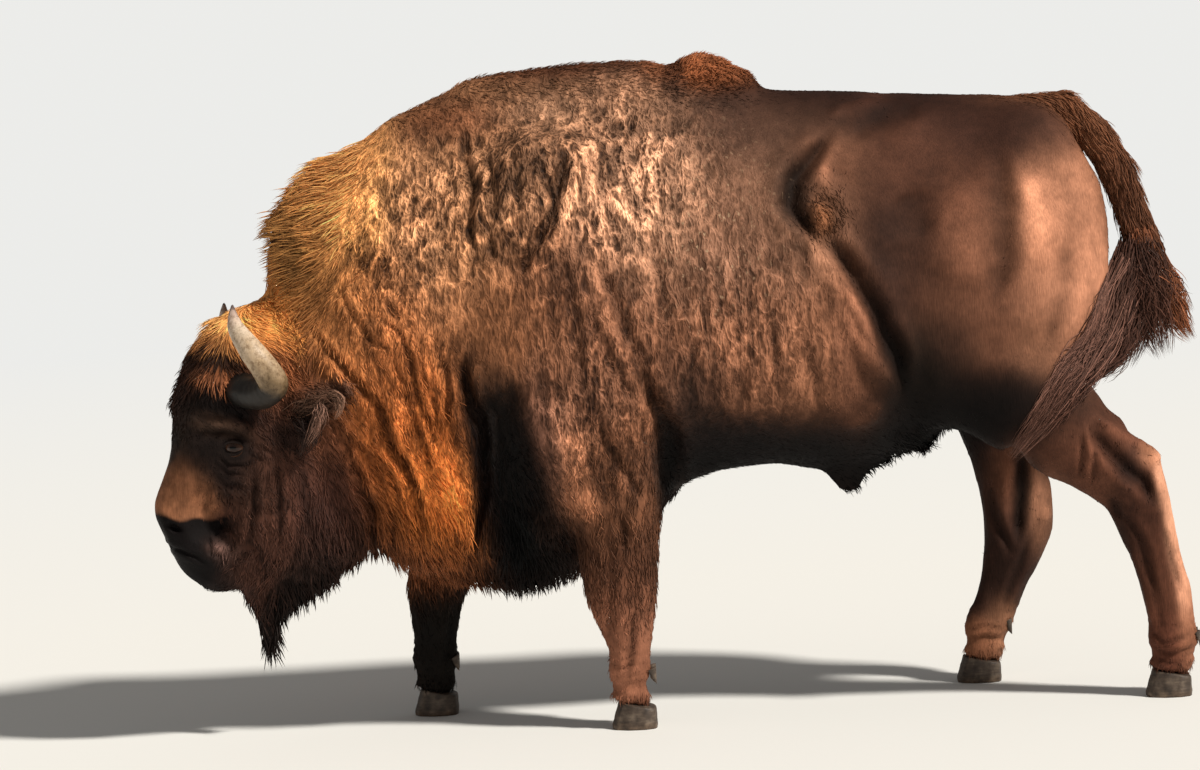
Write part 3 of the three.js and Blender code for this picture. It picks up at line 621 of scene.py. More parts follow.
def face_depth(p, q):
    """How far in each point of the head goes for brow, lips, nostrils, cheeks and folds."""
    inward = np.zeros(len(p))
    for row in FACE:
        centre, radii, depth = row[:3], row[3:6], row[6]
        for side in SIDES if centre[2] else SIDES[:1]:
            inward += depth * np.exp(-ball(q, mirrored(centre, side), radii))
    flat = face_flat(p, q)
    gap, along = away(q[:, :2], np.array(LIPS, float))
    line = 6 * bell(gap / 4.5) - 2.5 * bell((gap - 13) / 8)
    mouth_end = smoothstep(0.92, 0.55, along)
    for side in SIDES:
        s = q[:, 2] * side
        inward += np.where(s > 0, line, 0) * smoothstep(20, 30, s + 12) * mouth_end
        centre, radii, depth = NOSTRIL
        pit = np.exp(-ball(q, mirrored(centre, side), radii) ** 1.5)
        centre, radii, height = NOSTRIL_RIM
        rim = np.exp(-ball(q, mirrored(centre, side), radii))
        inward += depth * pit - height * rim * (1 - pit)
        for width, depth, *line_of_fold in FACE_FOLDS:
            gap, along = away(flat, np.reshape(line_of_fold, (-1, 2)))
            fold = depth * (bell(gap / width) - 0.35 * bell((gap - 2 * width) / width))
            inward += np.where(s > 50, fold, 0) * rounded_ends(along)
    return inward


def with_lids(q, side):
    """Draws the skin round one eyeball into a socket, with an upper and a lower lid."""
    centre, out, slit, up = eye_frame(side)
    r = q - centre
    dist = np.linalg.norm(r, axis=1)
    way = r / np.maximum(dist, 1)[:, None]
    x, y, front = way @ slit, way @ up, way @ out
    near = smoothstep(LIDS_REACH, 36, dist) * smoothstep(0.0, 0.25, front)
    half = 0.42 * np.sqrt(np.clip(1 - (x / 0.92) ** 2, 0, 1))
    opening = np.where(y > 0.02, (y - 0.02) / np.maximum(half * 0.98, 1e-3),
                       (0.02 - y) / np.maximum(half, 1e-3))
    inside = smoothstep(1.12, 0.88, opening) * (np.abs(x) < 0.92)
    lid = 30.5 + 2.6 * bell((opening - 1.35) / 0.3) * (1 + 0.5 * (y > 0))
    lid = lid - 2.6 * bell((opening - 2.1) / 0.3) * (y > 0)
    lid = lid - 2.0 * bell((opening - 2.2) / 0.4) * (y <= 0)
    target = np.where(front > 0, lid * (1 - inside) + 21.0 * inside, dist)
    blend = near * smoothstep(1.0, 0.72, np.hypot(x, y))
    reach = dist + (target - dist) * np.clip(blend * 1.15, 0, 1)
    return centre + way * reach[:, None]


def sculpt_head(p, n):
    """New places for the head's points."""
    on_head = smoothstep(-0.93, -0.99, p[:, 0]) * (p[:, 2] > 0.38)
    p = p - n * (face_depth(p, to_head(p)) * on_head / MM)[:, None]
    q = to_head(p)
    for side in SIDES:
        q = with_lids(q, side)
    return from_head(q)


# ---------------------------------------------------------------- the coat, place by place
# Trunk, legs and tail: centre x, distance from the middle, z; radii; weight; then length and
# width in mm, lift, curl, fall, tufts to the square metre; and the way the hair lies.
ZONES = np.array([
    (-250, 0, 1820, 520, 300, 80, 2.4, 26, 3.2, 0.34, 0.7, 0.05, 15000, 1, 0, -0.05),
    (-930, 0, 1420, 110, 230, 270, 3, 88, 3.9, 0.26, 0.16, 0.04, 19000, -1, 0, 0.02),
    (-760, 250, 1250, 180, 200, 220, 1, 20, 3.4, 0.14, 0.5, 0.1, 11000, -0.25, 0, -1),
    (-720, 250, 850, 220, 200, 300, 1.3, 34, 3.6, 0.13, 0.3, 0.2, 14500, 0.42, 0, -0.9),
    (-380, 320, 1420, 280, 200, 270, 1.6, 11, 2, 0.08, 0.8, 0.1, 2600, 0.12, 0, -1),
    (0, 340, 1500, 230, 200, 200, 1.4, 10, 1.9, 0.07, 0.5, 0.1, 2400, 0.2, 0, -1),
    (150, 340, 1150, 300, 200, 300, 1.2, 15, 2, 0.06, 0.3, 0.1, 7000, 0.3, 0, -1),
    (400, 340, 1000, 260, 200, 260, 1, 19, 2.6, 0.09, 0.4, 0.2, 8500, 0.25, 0, -1),
    (470, 330, 1370, 62, 200, 62, 1.8, 30, 3.6, 0.45, 1.3, 0.2, 19000, 0.5, 0, -0.8),
    (600, 0, 1730, 500, 260, 100, 1.2, 15, 2.6, 0.12, 0.3, 0.05, 9000, 1, 0, -0.1),
    (930, 250, 1300, 330, 250, 360, 1.5, 12, 2, 0.05, 0.15, 0.05, 7500, 0.45, 0, -0.9),
    (300, 80, 740, 420, 170, 120, 1.8, 17, 3, 0.14, 0.5, 0.3, 11000, 0.7, 0, -0.6),
    (-480, 0, 540, 420, 230, 120, 2.6, 74, 4.2, 0.2, 0.45, 0.6, 15000, 0.15, 0, -1),
    (-700, 60, 560, 150, 200, 150, 2, 70, 4.2, 0.2, 0.35, 0.6, 15000, 0.25, 0, -1),
    (-150, 300, 700, 170, 180, 260, 1.4, 34, 3.6, 0.16, 0.8, 0.3, 13500, 0.1, 0, -1),
    (-600, 230, 420, 130, 150, 130, 1.8, 34, 3.8, 0.24, 0.7, 0.4, 14000, 0.1, 0, -1),
    (-140, 230, 440, 130, 150, 130, 1.8, 36, 3.8, 0.24, 0.8, 0.4, 14000, 0.1, 0, -1),
    (-240, 300, 960, 140, 180, 190, 2, 13, 2.3, 0.1, 0.7, 0.1, 6000, 0.2, 0, -1),
    (-380, 230, 190, 500, 150, 120, 1.6, 15, 2.8, 0.14, 0.4, 0.2, 12500, 0, 0, -1),
    (-380, 230, 75, 500, 150, 30, 3.4, 27, 2.8, 0.3, 0.3, 0.5, 20000, 0, 0, -1),
    (1100, 200, 75, 500, 150, 30, 3.4, 25, 2.8, 0.3, 0.3, 0.5, 20000, 0, 0, -1),
    (1100, 200, 280, 500, 150, 240, 1.6, 12, 2.2, 0.08, 0.3, 0.15, 11000, 0.1, 0, -1),
    (1050, 200, 650, 260, 200, 160, 1.2, 17, 2.6, 0.1, 0.4, 0.2, 9500, 0.3, 0, -1),
    (1150, 0, 1560, 150, 90, 200, 3, 44, 3.6, 0.2, 0.35, 0.2, 20000, 0.7, 0, -0.8),
    (1320, 0, 1320, 110, 90, 200, 3, 64, 3.6, 0.24, 0.3, 0.3, 22000, 0.3, 0, -1),
    (745, 0, 680, 110, 130, 110, 3.6, 64, 3.8, 0.15, 0.3, 0.5, 24000, 0.55, 0, -1),
    (210, 0, 1790, 150, 170, 60, 5.5, 30, 4.2, 0.5, 2.2, 0, 34000, 0.6, 0, 0.2),
    (-1100, 0, 360, 130, 140, 150, 5, 92, 4.6, 0.16, 0.5, 0.5, 24000, 0.08, 0, -1),
    (-960, 0, 560, 150, 190, 110, 2.6, 60, 4.2, 0.16, 0.5, 0.5, 16000, 0.25, 0, -1),
])

# The head, in its own frame, the same columns.
HEAD_ZONES = np.array([
    (10, 30, 0, 110, 90, 160, 1.6, 62, 3.4, 0.2, 0.35, 0.1, 24000, 0.65, 0.75, 0),
    (-30, -60, 110, 120, 120, 110, 1.4, 50, 3.2, 0.12, 0.35, 0.05, 21000, 0.25, -1, 0.15),
    (160, 55, 0, 80, 60, 120, 1.6, 42, 3.6, 0.32, 0.8, 0.15, 21000, 1, 0.35, 0),
    (262, 30, 0, 60, 60, 110, 1.4, 20, 3, 0.26, 1, 0.1, 21000, 1, 0.1, 0),
    (400, 0, 0, 120, 70, 90, 1.6, 10, 1.9, 0.09, 0.3, 0, 24000, 1, 0, 0),
    (215, -60, 120, 45, 70, 60, 1.5, 13, 2.2, 0.15, 0.4, 0.1, 22000, 0.5, -0.8, 0),
    (300, -130, 150, 60, 60, 60, 1.2, 11, 2.2, 0.12, 0.5, 0.1, 22000, 0.8, -0.5, 0),
    (390, -240, 150, 150, 110, 100, 1.3, 30, 3.2, 0.15, 0.9, 0.25, 19000, 0.75, -0.5, 0),
    (200, -260, 130, 120, 120, 100, 1.3, 32, 3.2, 0.15, 0.9, 0.25, 19000, 0.7, -0.7, 0),
    (540, -330, 60, 110, 110, 120, 1.5, 48, 4, 0.16, 0.7, 0.45, 19000, 0.95, -0.1, 0),
    (620, -250, 30, 60, 70, 70, 1.6, 18, 2.8, 0.16, 0.5, 0.3, 16000, 1, 0.1, 0),
    (500, -110, 80, 50, 70, 60, 1.3, 10, 2, 0.1, 0.3, 0, 22000, 1, -0.2, 0),
    (575, -70, 40, 38, 60, 70, 4, 4, 1.6, 0.1, 0.1, 0, 1500, 1, 0, 0),
    (605, -150, 40, 30, 60, 60, 4, 6, 1.8, 0.12, 0.1, 0, 3000, 1, 0, 0),
    (110, -290, 215, 90, 100, 90, 2.2, 36, 3, 0.3, 0.8, 0.3, 22000, -0.2, -0.9, 0.5),
])

EAR = np.array([(160.0, -205, 150), (28, -322, 276)])


def headed(p, q):
    """1 on the head and ears, 0 on the rest; q is in the head's frame, w without its sign."""
    ear, along = away(q, EAR)
    main = smoothstep(-0.97, -1.045, p[:, 0]) * smoothstep(-425, -345, q[:, 1]) \
        * smoothstep(720, 640, q[:, 0])
    return np.maximum(main, smoothstep(74, 44, ear) * smoothstep(0.05, 0.3, along))


def in_tables(p):
    """Each point in the trunk's and in the head's terms, its side, and how much head it is."""
    local = drawn(p)
    local[:, 1] = np.abs(local[:, 1])
    q = to_head(p)
    side = np.sign(q[:, 2])
    q[:, 2] = np.abs(q[:, 2])
    return local, q, side, headed(p, q)


def habits(p):
    """Length, width, lift, curl, fall, density and lay of the coat at each point."""
    local, q, side, headness = in_tables(p)
    total = np.full(len(p), 1e-4)
    values = np.tile(np.array([16, 4, 0.2, 0.3, 0.1, 5000.0]) * 1e-4, (len(p), 1))
    lay = np.tile(np.array([0.3, 0, -0.9]) * 1e-4, (len(p), 1))
    for rows, at, share in ((ZONES, local, 1 - headness), (HEAD_ZONES, q, headness)):
        for row in rows:
            centre, radii, weight, numbers, way = row[:3], row[3:6], row[6], row[7:13], row[13:]
            w = share * weight / (1 + ball(at, centre, radii)) ** 3
            total += w
            values += w[:, None] * numbers
            way = np.tile(unit(way), (len(p), 1))
            if at is q:
                way[:, 2] *= side
                way = way @ HEAD_AXES.T @ HEAD_TURN.T
            else:
                way[:, 1] *= np.sign(p[:, 1])
            lay += w[:, None] * way
    return values / total[:, None], unit(lay)


# Colours by region: centre, radii and weight as above, then linear colour in thousandths; the rows
# marked below paint shade or highlights.
TONES = np.array([
    (-920, 0, 1400, 110, 300, 190, 2.2, 500, 240, 75),
    (-850, 0, 1580, 110, 300, 110, 2.4, 1000, 460, 155),
    (-812, 0, 1420, 84, 300, 70, 1.8, 900, 420, 140),
    (-830, 200, 1180, 100, 300, 190, 1.6, 460, 175, 60),
    (-985, 200, 1010, 60, 200, 80, 2.6, 170, 58, 25),
    (-920, 200, 850, 66, 300, 120, 2.6, 130, 48, 24),
    (-920, 200, 690, 80, 300, 120, 3, 78, 32, 24),
    (-720, 200, 1080, 90, 300, 160, 1.4, 320, 115, 42),
    (-700, 200, 860, 130, 300, 230, 2.2, 430, 126, 31),
    (-615, 200, 640, 90, 300, 140, 2.6, 740, 225, 48),
    (-660, 200, 480, 110, 300, 80, 2, 340, 115, 48),
    (-560, 250, 1450, 170, 300, 260, 1.3, 400, 185, 86),
    (-300, 250, 1540, 230, 300, 160, 1.3, 235, 112, 58),
    (-300, 0, 1840, 420, 300, 40, 2.4, 78, 24, 10),
    (-520, 0, 1665, 110, 300, 48, 2.4, 100, 30, 12),
    (-250, 300, 1680, 110, 300, 40, 1.2, 360, 190, 110),
    (-20, 300, 1500, 140, 300, 190, 1.7, 540, 275, 158),
    (-440, 250, 1130, 160, 300, 150, 1.1, 300, 115, 46),
    (-200, 300, 1150, 220, 300, 200, 1.2, 190, 80, 42),
    # Painted shade: this row and the next are the shadow between the neck's curtain and the near
    # shoulder.
    (-478, 300, 770, 74, 300, 290, 4.4, 6, 4, 3),
    (-400, 300, 700, 84, 300, 240, 3, 9, 5, 4),
    # Painted shade under the brisket.
    (-480, 0, 520, 300, 300, 90, 2.8, 2, 1.5, 1.5),
    (-320, 300, 840, 44, 300, 200, 1.6, 85, 38, 24),
    (-150, 320, 740, 110, 300, 220, 1.4, 215, 88, 44),
    (-180, 300, 900, 100, 300, 100, 1.5, 85, 39, 23),
    (250, 320, 1360, 240, 300, 190, 1.3, 215, 104, 62),
    (280, 300, 1610, 200, 300, 90, 1.6, 75, 36, 23),
    (300, 320, 1040, 250, 300, 170, 1.3, 200, 84, 44),
    (545, 320, 1000, 60, 300, 170, 1.4, 220, 90, 50),
    # This row and the next take the belly's own dark brown down to black: partly its colour,
    # partly painted shade on the underside.
    (300, 100, 715, 420, 300, 84, 3.2, 2, 1.5, 1.5),
    (190, 100, 775, 170, 300, 62, 3, 3, 2, 2),
    # Painted shade in the hollow behind the elbow.
    (90, 300, 900, 66, 300, 105, 2.2, 9, 5, 4),
    (392, 320, 1440, 56, 300, 90, 3.2, 8, 5, 4),
    (462, 330, 1370, 32, 300, 50, 3, 95, 34, 12),
    (480, 330, 1510, 70, 300, 60, 1.6, 150, 62, 34),
    # Painted shade: the next four rows darken the hollow between the ribs' fold and the thigh.
    (620, 320, 1120, 58, 300, 200, 3.2, 16, 7, 5),
    (690, 320, 930, 110, 300, 110, 3.6, 4, 3, 2),
    (790, 320, 1010, 60, 300, 70, 1.6, 30, 13, 8),
    (640, 320, 1330, 46, 300, 50, 2.2, 22, 10, 7),
    (640, 0, 1730, 480, 300, 100, 2.2, 18, 6, 3.5),
    (720, 300, 1440, 170, 300, 150, 1.2, 78, 30, 17),
    (870, 300, 1160, 120, 300, 170, 1.3, 150, 62, 35),
    # Painted shade: this row and the next darken the flank hollow further.
    (705, 300, 1240, 84, 300, 120, 1.9, 54, 22, 13),
    (806, 300, 1210, 54, 300, 90, 1.2, 80, 32, 18),
    (950, 300, 1225, 30, 300, 110, 0.9, 240, 102, 58),
    # Partly painted highlight: the rump is lighter along its rear, where the light falls.
    (1110, 300, 1200, 95, 300, 220, 1.6, 430, 190, 110),
    (1000, 300, 1600, 200, 300, 90, 1.6, 36, 14, 9),
    # Painted shade under the thigh.
    (880, 300, 812, 230, 300, 80, 3.6, 2, 1.5, 1.5),
    (1060, 300, 1000, 70, 300, 80, 1.2, 150, 66, 36),
    (1150, 200, 690, 150, 300, 120, 1.5, 110, 42, 24),
    # Painted highlight: the next three rows light the near cannon's rear edge.
    (1352, 250, 610, 17, 300, 60, 5, 600, 290, 180),
    (1374, 250, 470, 17, 300, 80, 5, 720, 350, 215),
    (1396, 250, 330, 17, 300, 80, 5, 600, 280, 170),
    (1340, 250, 330, 38, 300, 110, 1.8, 80, 29, 16),
    # Painted shade: this row and the next darken the front of the near hind leg.
    (1290, 250, 480, 50, 300, 150, 2.4, 58, 21, 12),
    (1240, 250, 400, 34, 300, 180, 2.4, 24, 10, 6),
    # Painted highlight on the point of the near hock.
    (1330, 250, 665, 34, 300, 26, 3, 340, 150, 85),
    # Painted highlight on the point of the far hock.
    (1050, 200, 480, 34, 300, 100, 2, 230, 105, 60),
    # Painted shade in the hollow above the far hock.
    (1003, 200, 560, 20, 300, 100, 2.6, 12, 7, 5),
    (960, 200, 600, 30, 300, 110, 1.6, 110, 44, 25),
    (930, 200, 350, 200, 300, 170, 1.3, 28, 12, 8),
    (850, 200, 125, 80, 300, 40, 2, 330, 135, 70),
    (930, 200, 150, 34, 300, 60, 2.2, 270, 125, 70),
    # Painted shade in the hollow between the near hock's tendon and shin.
    (1262, 200, 640, 30, 300, 50, 2.2, 16, 8, 6),
    (1330, 200, 150, 60, 300, 80, 1.8, 110, 38, 22),
    (1408, 200, 175, 30, 300, 80, 2.4, 300, 125, 70),
    (-130, 230, 450, 90, 200, 90, 1.4, 110, 44, 24),
    (-130, 230, 230, 90, 200, 120, 1.6, 250, 102, 58),
    # Painted shade: the far foreleg is darkened as if in the body's shadow.
    (-640, 230, 250, 90, 200, 170, 2.6, 5, 4, 3),
    (1150, 0, 1560, 160, 90, 190, 2.6, 220, 84, 38),
    (1320, 0, 1320, 120, 90, 220, 2.6, 150, 60, 31),
    (700, 0, 700, 200, 150, 100, 3.8, 4, 3, 3),
    (215, 0, 1800, 110, 200, 50, 7, 430, 140, 54),
    # Painted shadow at the winter wool's front edge.
    (92, 0, 1765, 26, 200, 60, 4, 20, 9, 6),
    (-1100, 0, 350, 150, 150, 140, 4, 7, 4, 3),
    (-960, 100, 600, 150, 200, 140, 2.4, 36, 17, 12),
])

# The head, in its own frame, the same columns; the rows marked below paint shade or highlights.
HEAD_TONES = np.array([
    (-72, 40, 0, 46, 80, 180, 3.2, 1000, 500, 165),
    (-104, -80, 110, 62, 130, 120, 2.8, 920, 385, 105),
    (10, -180, 150, 64, 80, 110, 2, 330, 110, 41),
    (40, -300, 120, 70, 80, 120, 2, 125, 44, 21),
    (110, -225, 170, 70, 70, 110, 1.6, 75, 29, 17),
    (230, -400, 120, 150, 90, 120, 2, 90, 37, 27),
    (-8, 60, 60, 26, 60, 100, 2.2, 420, 165, 55),
    (60, 20, 70, 22, 80, 100, 3.6, 20, 9, 6),
    # Painted shadow of the horn across the forehead.
    (160, -90, 120, 26, 70, 70, 3, 6, 4, 4),
    # Painted shade round the horn's base.
    (100, -112, 110, 44, 40, 44, 3, 12, 7, 5),
    (94, -24, 98, 18, 46, 60, 3.6, 360, 130, 56),
    (125, 66, 0, 84, 60, 90, 3.2, 40, 16, 10),
    # Painted shadow of the horn across the face.
    (190, -20, 60, 46, 90, 90, 2.4, 11, 8, 7),
    (424, -40, 55, 56, 56, 66, 3.2, 300, 126, 62),
    # Painted shade down the front of the face, which faces away from the light.
    (318, 10, 20, 62, 60, 60, 2.2, 12, 8, 6),
    (330, -60, 100, 60, 50, 60, 1.8, 14, 9, 8),
    # Partly painted highlight: the brow ridge is lighter on its lit top.
    (226, -70, 125, 22, 70, 50, 2.6, 48, 26, 17),
    (560, -235, 80, 60, 26, 60, 1.6, 30, 15, 11),
    (275, -130, 140, 34, 50, 50, 2.4, 16, 10, 8),
    (350, -135, 140, 46, 40, 60, 2.2, 24, 15, 13),
    (350, -210, 150, 70, 60, 60, 1.2, 52, 25, 17),
    (330, -280, 150, 130, 90, 90, 1.4, 66, 26, 16),
    (180, -290, 150, 90, 90, 90, 1.4, 50, 22, 14),
    # Painted shadow under the ear.
    (184, -252, 165, 32, 46, 70, 3.4, 6, 4, 4),
    (520, -320, 80, 120, 100, 100, 1.4, 92, 38, 25),
    # Painted highlight at the mouth's corner.
    (540, -195, 95, 24, 36, 44, 2.6, 125, 70, 58),
    (620, -190, 40, 46, 90, 80, 3, 7, 5, 5),
    (70, -300, 240, 60, 50, 60, 4, 140, 72, 46),
    (270, -132, 140, 20, 34, 34, 5, 9, 6, 6),
])

MUZZLE_BLACK = np.array([0.0036, 0.0022, 0.0022])
MUZZLE_EDGE = [-215, -150, -63, 0, 60], [425, 466, 503, 508, 512]  # v, and u of the edge
# Painted highlight: the lip's corner, which the black muzzle spares.
LIP_CORNER_HIGHLIGHT = np.array([548, -195, 90]), np.array([26, 34, 60])


def muzzle_share(p, q):
    """1 on the bare black muzzle, 0 on hair and on the painted highlight at the lip's corner."""
    edge = np.interp(q[:, 1], *MUZZLE_EDGE)
    wet = smoothstep(-6, 10, q[:, 0] - edge + 10 * noise(p, 0.03, 63)) \
        * smoothstep(-236, -170, q[:, 1]) * smoothstep(135, 110, q[:, 2])
    return wet * (1 - np.exp(-ball(q, *LIP_CORNER_HIGHLIGHT)))


def tone(p):
    """The coat's and the skin's colour at each point, with painted shade and highlights from the
    tables, the crinkles, the lumps and the folds.
    """
    local, q, _, headness = in_tables(p)
    total = np.full(len(p), 0.02)
    colour = np.tile(np.array([0.12, 0.050, 0.027]) * 0.02, (len(p), 1))
    for rows, at, share in ((TONES, local, 1 - headness), (HEAD_TONES, q, headness)):
        for row in rows:
            w = share * row[6] * np.exp(-1.1 * ball(at, row[:3], row[3:6]))
            total += w
            colour += w[:, None] * (row[7:] / 1000)
    colour /= total[:, None]
    # Painted light and shade: crinkle crests are painted lighter as highlights, furrows darker as
    # shade.
    pattern, strength = crinkles(p)
    colour *= np.exp(strength * (pattern - 0.17))[:, None]
    clumps = 0.34 * noise(p, 0.017, 83) + 0.20 * noise(p, 0.045, 85)
    # On the trunk the colour follows the lumps: partly tone that differs at random, partly painted
    # light on the raised lumps and painted shade between them.
    colour *= np.exp((1 - headness) * 0.52 * blotches(p)[0] + headness * clumps)[:, None]
    # Painted shade: colour is darkened in the folds and creases of trunk, legs and face, and
    # lightened a little where a fold stands out.
    colour *= np.exp(-np.clip(folded(p), -14, 26) / 17)[:, None]
    colour *= np.exp(-headness * face_folds(p, q) / 8)[:, None]
    wet = muzzle_share(p, q) * headness
    return colour + wet[:, None] * (MUZZLE_BLACK - colour)


# ---------------------------------------------------------------- tufts
COAT_SLOTS = {"head": "dark_coat", "neck": "rust_coat", "tail": "dark_coat"}
PATCH = 0.003  # a lock's width on the map


def unwrapped(skin):
    """A light copy of the skin, unwrapped, to give each tuft its place on the map."""
    light = add_object("light", skin.data.copy())
    shrink = light.modifiers.new("light", "DECIMATE")
    shrink.ratio = 9000 / (2 * len(light.data.polygons))
    bpy.context.view_layer.update()
    seen = light.evaluated_get(bpy.context.evaluated_depsgraph_get())
    mesh = bpy.data.meshes.new_from_object(seen)
    bpy.data.objects.remove(light)
    chart = add_object("chart", mesh)
    select_only(chart)
    bpy.ops.object.mode_set(mode="EDIT")
    bpy.ops.mesh.select_all(action="SELECT")
    bpy.ops.mesh.quads_convert_to_tris()
    bpy.ops.uv.smart_project(angle_limit=math.radians(66), island_margin=0.004)
    bpy.ops.object.mode_set(mode="OBJECT")
    points = points_of(mesh)
    triangles = read_indices(mesh.loops, "vertex_index", 1).reshape(-1, 3)
    uv = np.empty(len(mesh.loops) * 2, np.float32)
    mesh.uv_layers.active.data.foreach_get("uv", uv)
    tree = BVHTree.FromPolygons([tuple(v) for v in points], triangles.tolist())
    bpy.data.objects.remove(chart)
    return tree, points, triangles, uv.reshape(-1, 3, 2)


def map_place(chart, roots):
    """Where each root lies on the unwrapped skin."""
    tree, points, triangles, uv = chart
    found = [tree.find_nearest(Vector(r)) for r in roots]
    face = np.array([f[2] for f in found])
    at = np.array([tuple(f[0]) for f in found])
    a, b, c = (points[triangles[face, k]] for k in range(3))
    v0, v1, v2 = b - a, c - a, at - a
    d00, d01, d11 = (v0 * v0).sum(1), (v0 * v1).sum(1), (v1 * v1).sum(1)
    d20, d21 = (v2 * v0).sum(1), (v2 * v1).sum(1)
    bottom = np.maximum(d00 * d11 - d01 * d01, 1e-14)
    s = np.clip((d11 * d20 - d01 * d21) / bottom, 0, 1)
    t = np.clip((d00 * d21 - d01 * d20) / bottom, 0, 1)
    w = np.stack([1 - s - t, s, t], axis=1)
    return np.clip((uv[face] * w[:, :, None]).sum(1), 0.002, 0.998)


def sample(points, triangles, density, seed):
    """Roots spread over the triangles with density in roots to the square metre."""
    a, b, c = (points[triangles[:, k]] for k in range(3))
    area = np.linalg.norm(np.cross(b - a, c - a), axis=1) / 2
    share = np.cumsum(area * density)
    count = int(share[-1])
    rng = np.random.default_rng(seed)
    picks = np.searchsorted(share, (np.arange(count) + rng.random(count)) * share[-1] / count)
    picks = np.minimum(picks, len(triangles) - 1)
    s, t = rng.random(count), rng.random(count)
    flip = s + t > 1
    s[flip], t[flip] = 1 - s[flip], 1 - t[flip]
    roots = a[picks] + s[:, None] * (b - a)[picks] + t[:, None] * (c - a)[picks]
    return roots, picks


def lock_faces(body):
    """The triangles of one closed three-sided lock of body rings and a tip."""
    faces = [[0, 1, 2]]
    for k in range(body - 1):
        for c in range(3):
            i, j = 3 * k + c, 3 * k + (c + 1) % 3
            faces += [[i, i + 3, j + 3], [i, j + 3, j]]
    last, tip = 3 * (body - 1), 3 * body
    return np.array(faces + [[last + c, tip, last + (c + 1) % 3] for c in range(3)])


def locks(name, paths, widths, ups, colours, spots, root_shade, thin=0.45, shape=None):
    """Closed three-sided locks: paths (n, rings, 3); the last ring is the tip."""
    n, rings, _ = paths.shape
    body = rings - 1
    along = np.diff(paths, axis=1)
    along = unit(np.concatenate([along[:, :1], (along[:, 1:] + along[:, :-1]) / 2,
                                 along[:, -1:]], axis=1))
    side = unit(np.cross(along, ups[:, None, :]))
    up = np.cross(side, along)
    t = np.linspace(0, 1, rings)[:-1]
    if shape is None:
        shape = (0.55 + 0.9 * t) * (1 - t) ** 0.55 * 1.25
    w = (widths[:, None] * shape[None, :])[..., None]
    ring = paths[:, :body]
    points = np.stack([ring - side[:, :body] * w / 2, ring + side[:, :body] * w / 2,
                       ring + up[:, :body] * w * thin], axis=2).reshape(n, body * 3, 3)
    points = np.concatenate([points, paths[:, -1:]], axis=1)
    count = body * 3 + 1
    index = lock_faces(body)[None] + (np.arange(n) * count)[:, None, None]
    mesh = mesh_from(name, points.reshape(-1, 3), index.reshape(-1, 3))
    level = np.concatenate([np.repeat(t, 3), [1.0]])
    # Painted shade and light: each lock darkens towards its root, as shade among the locks, and
    # lightens towards its tip, as light on the coat.
    root_shade = np.broadcast_to(root_shade, (n,))[:, None]
    tip_shade = 1.10 + 0.45 * (0.94 - root_shade)
    shade = root_shade + (tip_shade - root_shade) * level[None, :] ** 0.8
    paint(mesh, "tone", (colours[:, None, :] * shade[..., None]).reshape(-1, 3))
    across = np.concatenate([np.tile([-0.5, 0.5, 0.0], body), [0.0]])
    patch = spots[:, None, :] + PATCH * np.stack([across, level - 0.5], axis=1)[None]
    uv = mesh.uv_layers.new(name="OFBake")
    uv.data.foreach_set("uv", flat_floats(patch.reshape(-1, 2)[index.ravel()]))
    piece = add_object(name, mesh)
    declare(piece, next((s for part, s in COAT_SLOTS.items() if part in name), "brown_coat"))
    return piece


def clumped(roots, flat, length, rng):
    """Leans each tuft towards the nearest of those that lead, one in seven."""
    heads = rng.choice(len(roots), max(len(roots) // 7, 1), replace=False)
    tree = KDTree(len(heads))
    for k, h in enumerate(heads):
        tree.insert(roots[h], k)
    tree.balance()
    near = heads[np.array([tree.find(r)[1] for r in roots])]
    return unit(flat + 0.55 * (roots[near] - roots) / length[:, None])


def grow(roots, normals, lay, numbers, rings, seed):
    """Paths of tufts that leave the skin at their lift, turn with the lay, and fall."""
    rng = np.random.default_rng(seed)
    n = len(roots)
    length = numbers[:, 0] / MM * rng.uniform(0.7, 1.25, n)
    lift, curl, fall = numbers[:, 2], numbers[:, 3], numbers[:, 4]
    flat = unit(lay - normals * np.sum(lay * normals, axis=1, keepdims=True))
    sway = 0.35 * noise(roots, 0.05, seed + 1) + 0.22 * noise(roots, 0.018, seed + 2)
    sway = sway + rng.normal(0, 0.12, n)
    sway = sway * (0.6 + 0.7 * curl)
    flat = unit(flat + np.cross(normals, flat) * sway[:, None])
    if n > 50:
        flat = clumped(roots, flat, length, rng)
    side = np.cross(normals, flat)
    steps = rings - 1
    way = unit(flat + normals * (lift * rng.uniform(0.6, 1.5, n))[:, None])
    at = roots - normals * 0.0015
    paths = [at]
    bend = rng.choice([-1.0, 1.0], n) * curl * rng.uniform(0.3, 1.0, n)
    settle = -normals * (lift * 1.25 / steps)[:, None]
    pull = np.array([0, 0, -1.0]) * (fall * 1.8 / steps)[:, None]
    for k in range(steps):
        at = at + way * (length / steps)[:, None]
        paths.append(at)
        turn = (bend * (1.6 / steps))[:, None] * side * (1 if k < steps / 2 else -0.4)
        way = unit(way + turn + settle + pull)
    return np.stack(paths, axis=1)


# ---------------------------------------------------------------- long locks along a guide
GUIDE_STEPS = 80


def spine(points, count):
    """A smooth curve through a few points, as many columns as they have."""
    c = np.asarray(points, float)
    padded = np.concatenate([[2 * c[0] - c[1]], c, [2 * c[-1] - c[-2]]])
    s = np.linspace(0, len(c) - 1, count)
    i = np.minimum(s.astype(int), len(c) - 2)
    t = (s - i)[:, None]
    a, b, d, e = padded[i], padded[i + 1], padded[i + 2], padded[i + 3]
    return 0.5 * (2 * b + (d - a) * t + (2 * a - 5 * b + 4 * d - e) * t ** 2
                  + (3 * b - a - 3 * d + e) * t ** 3)


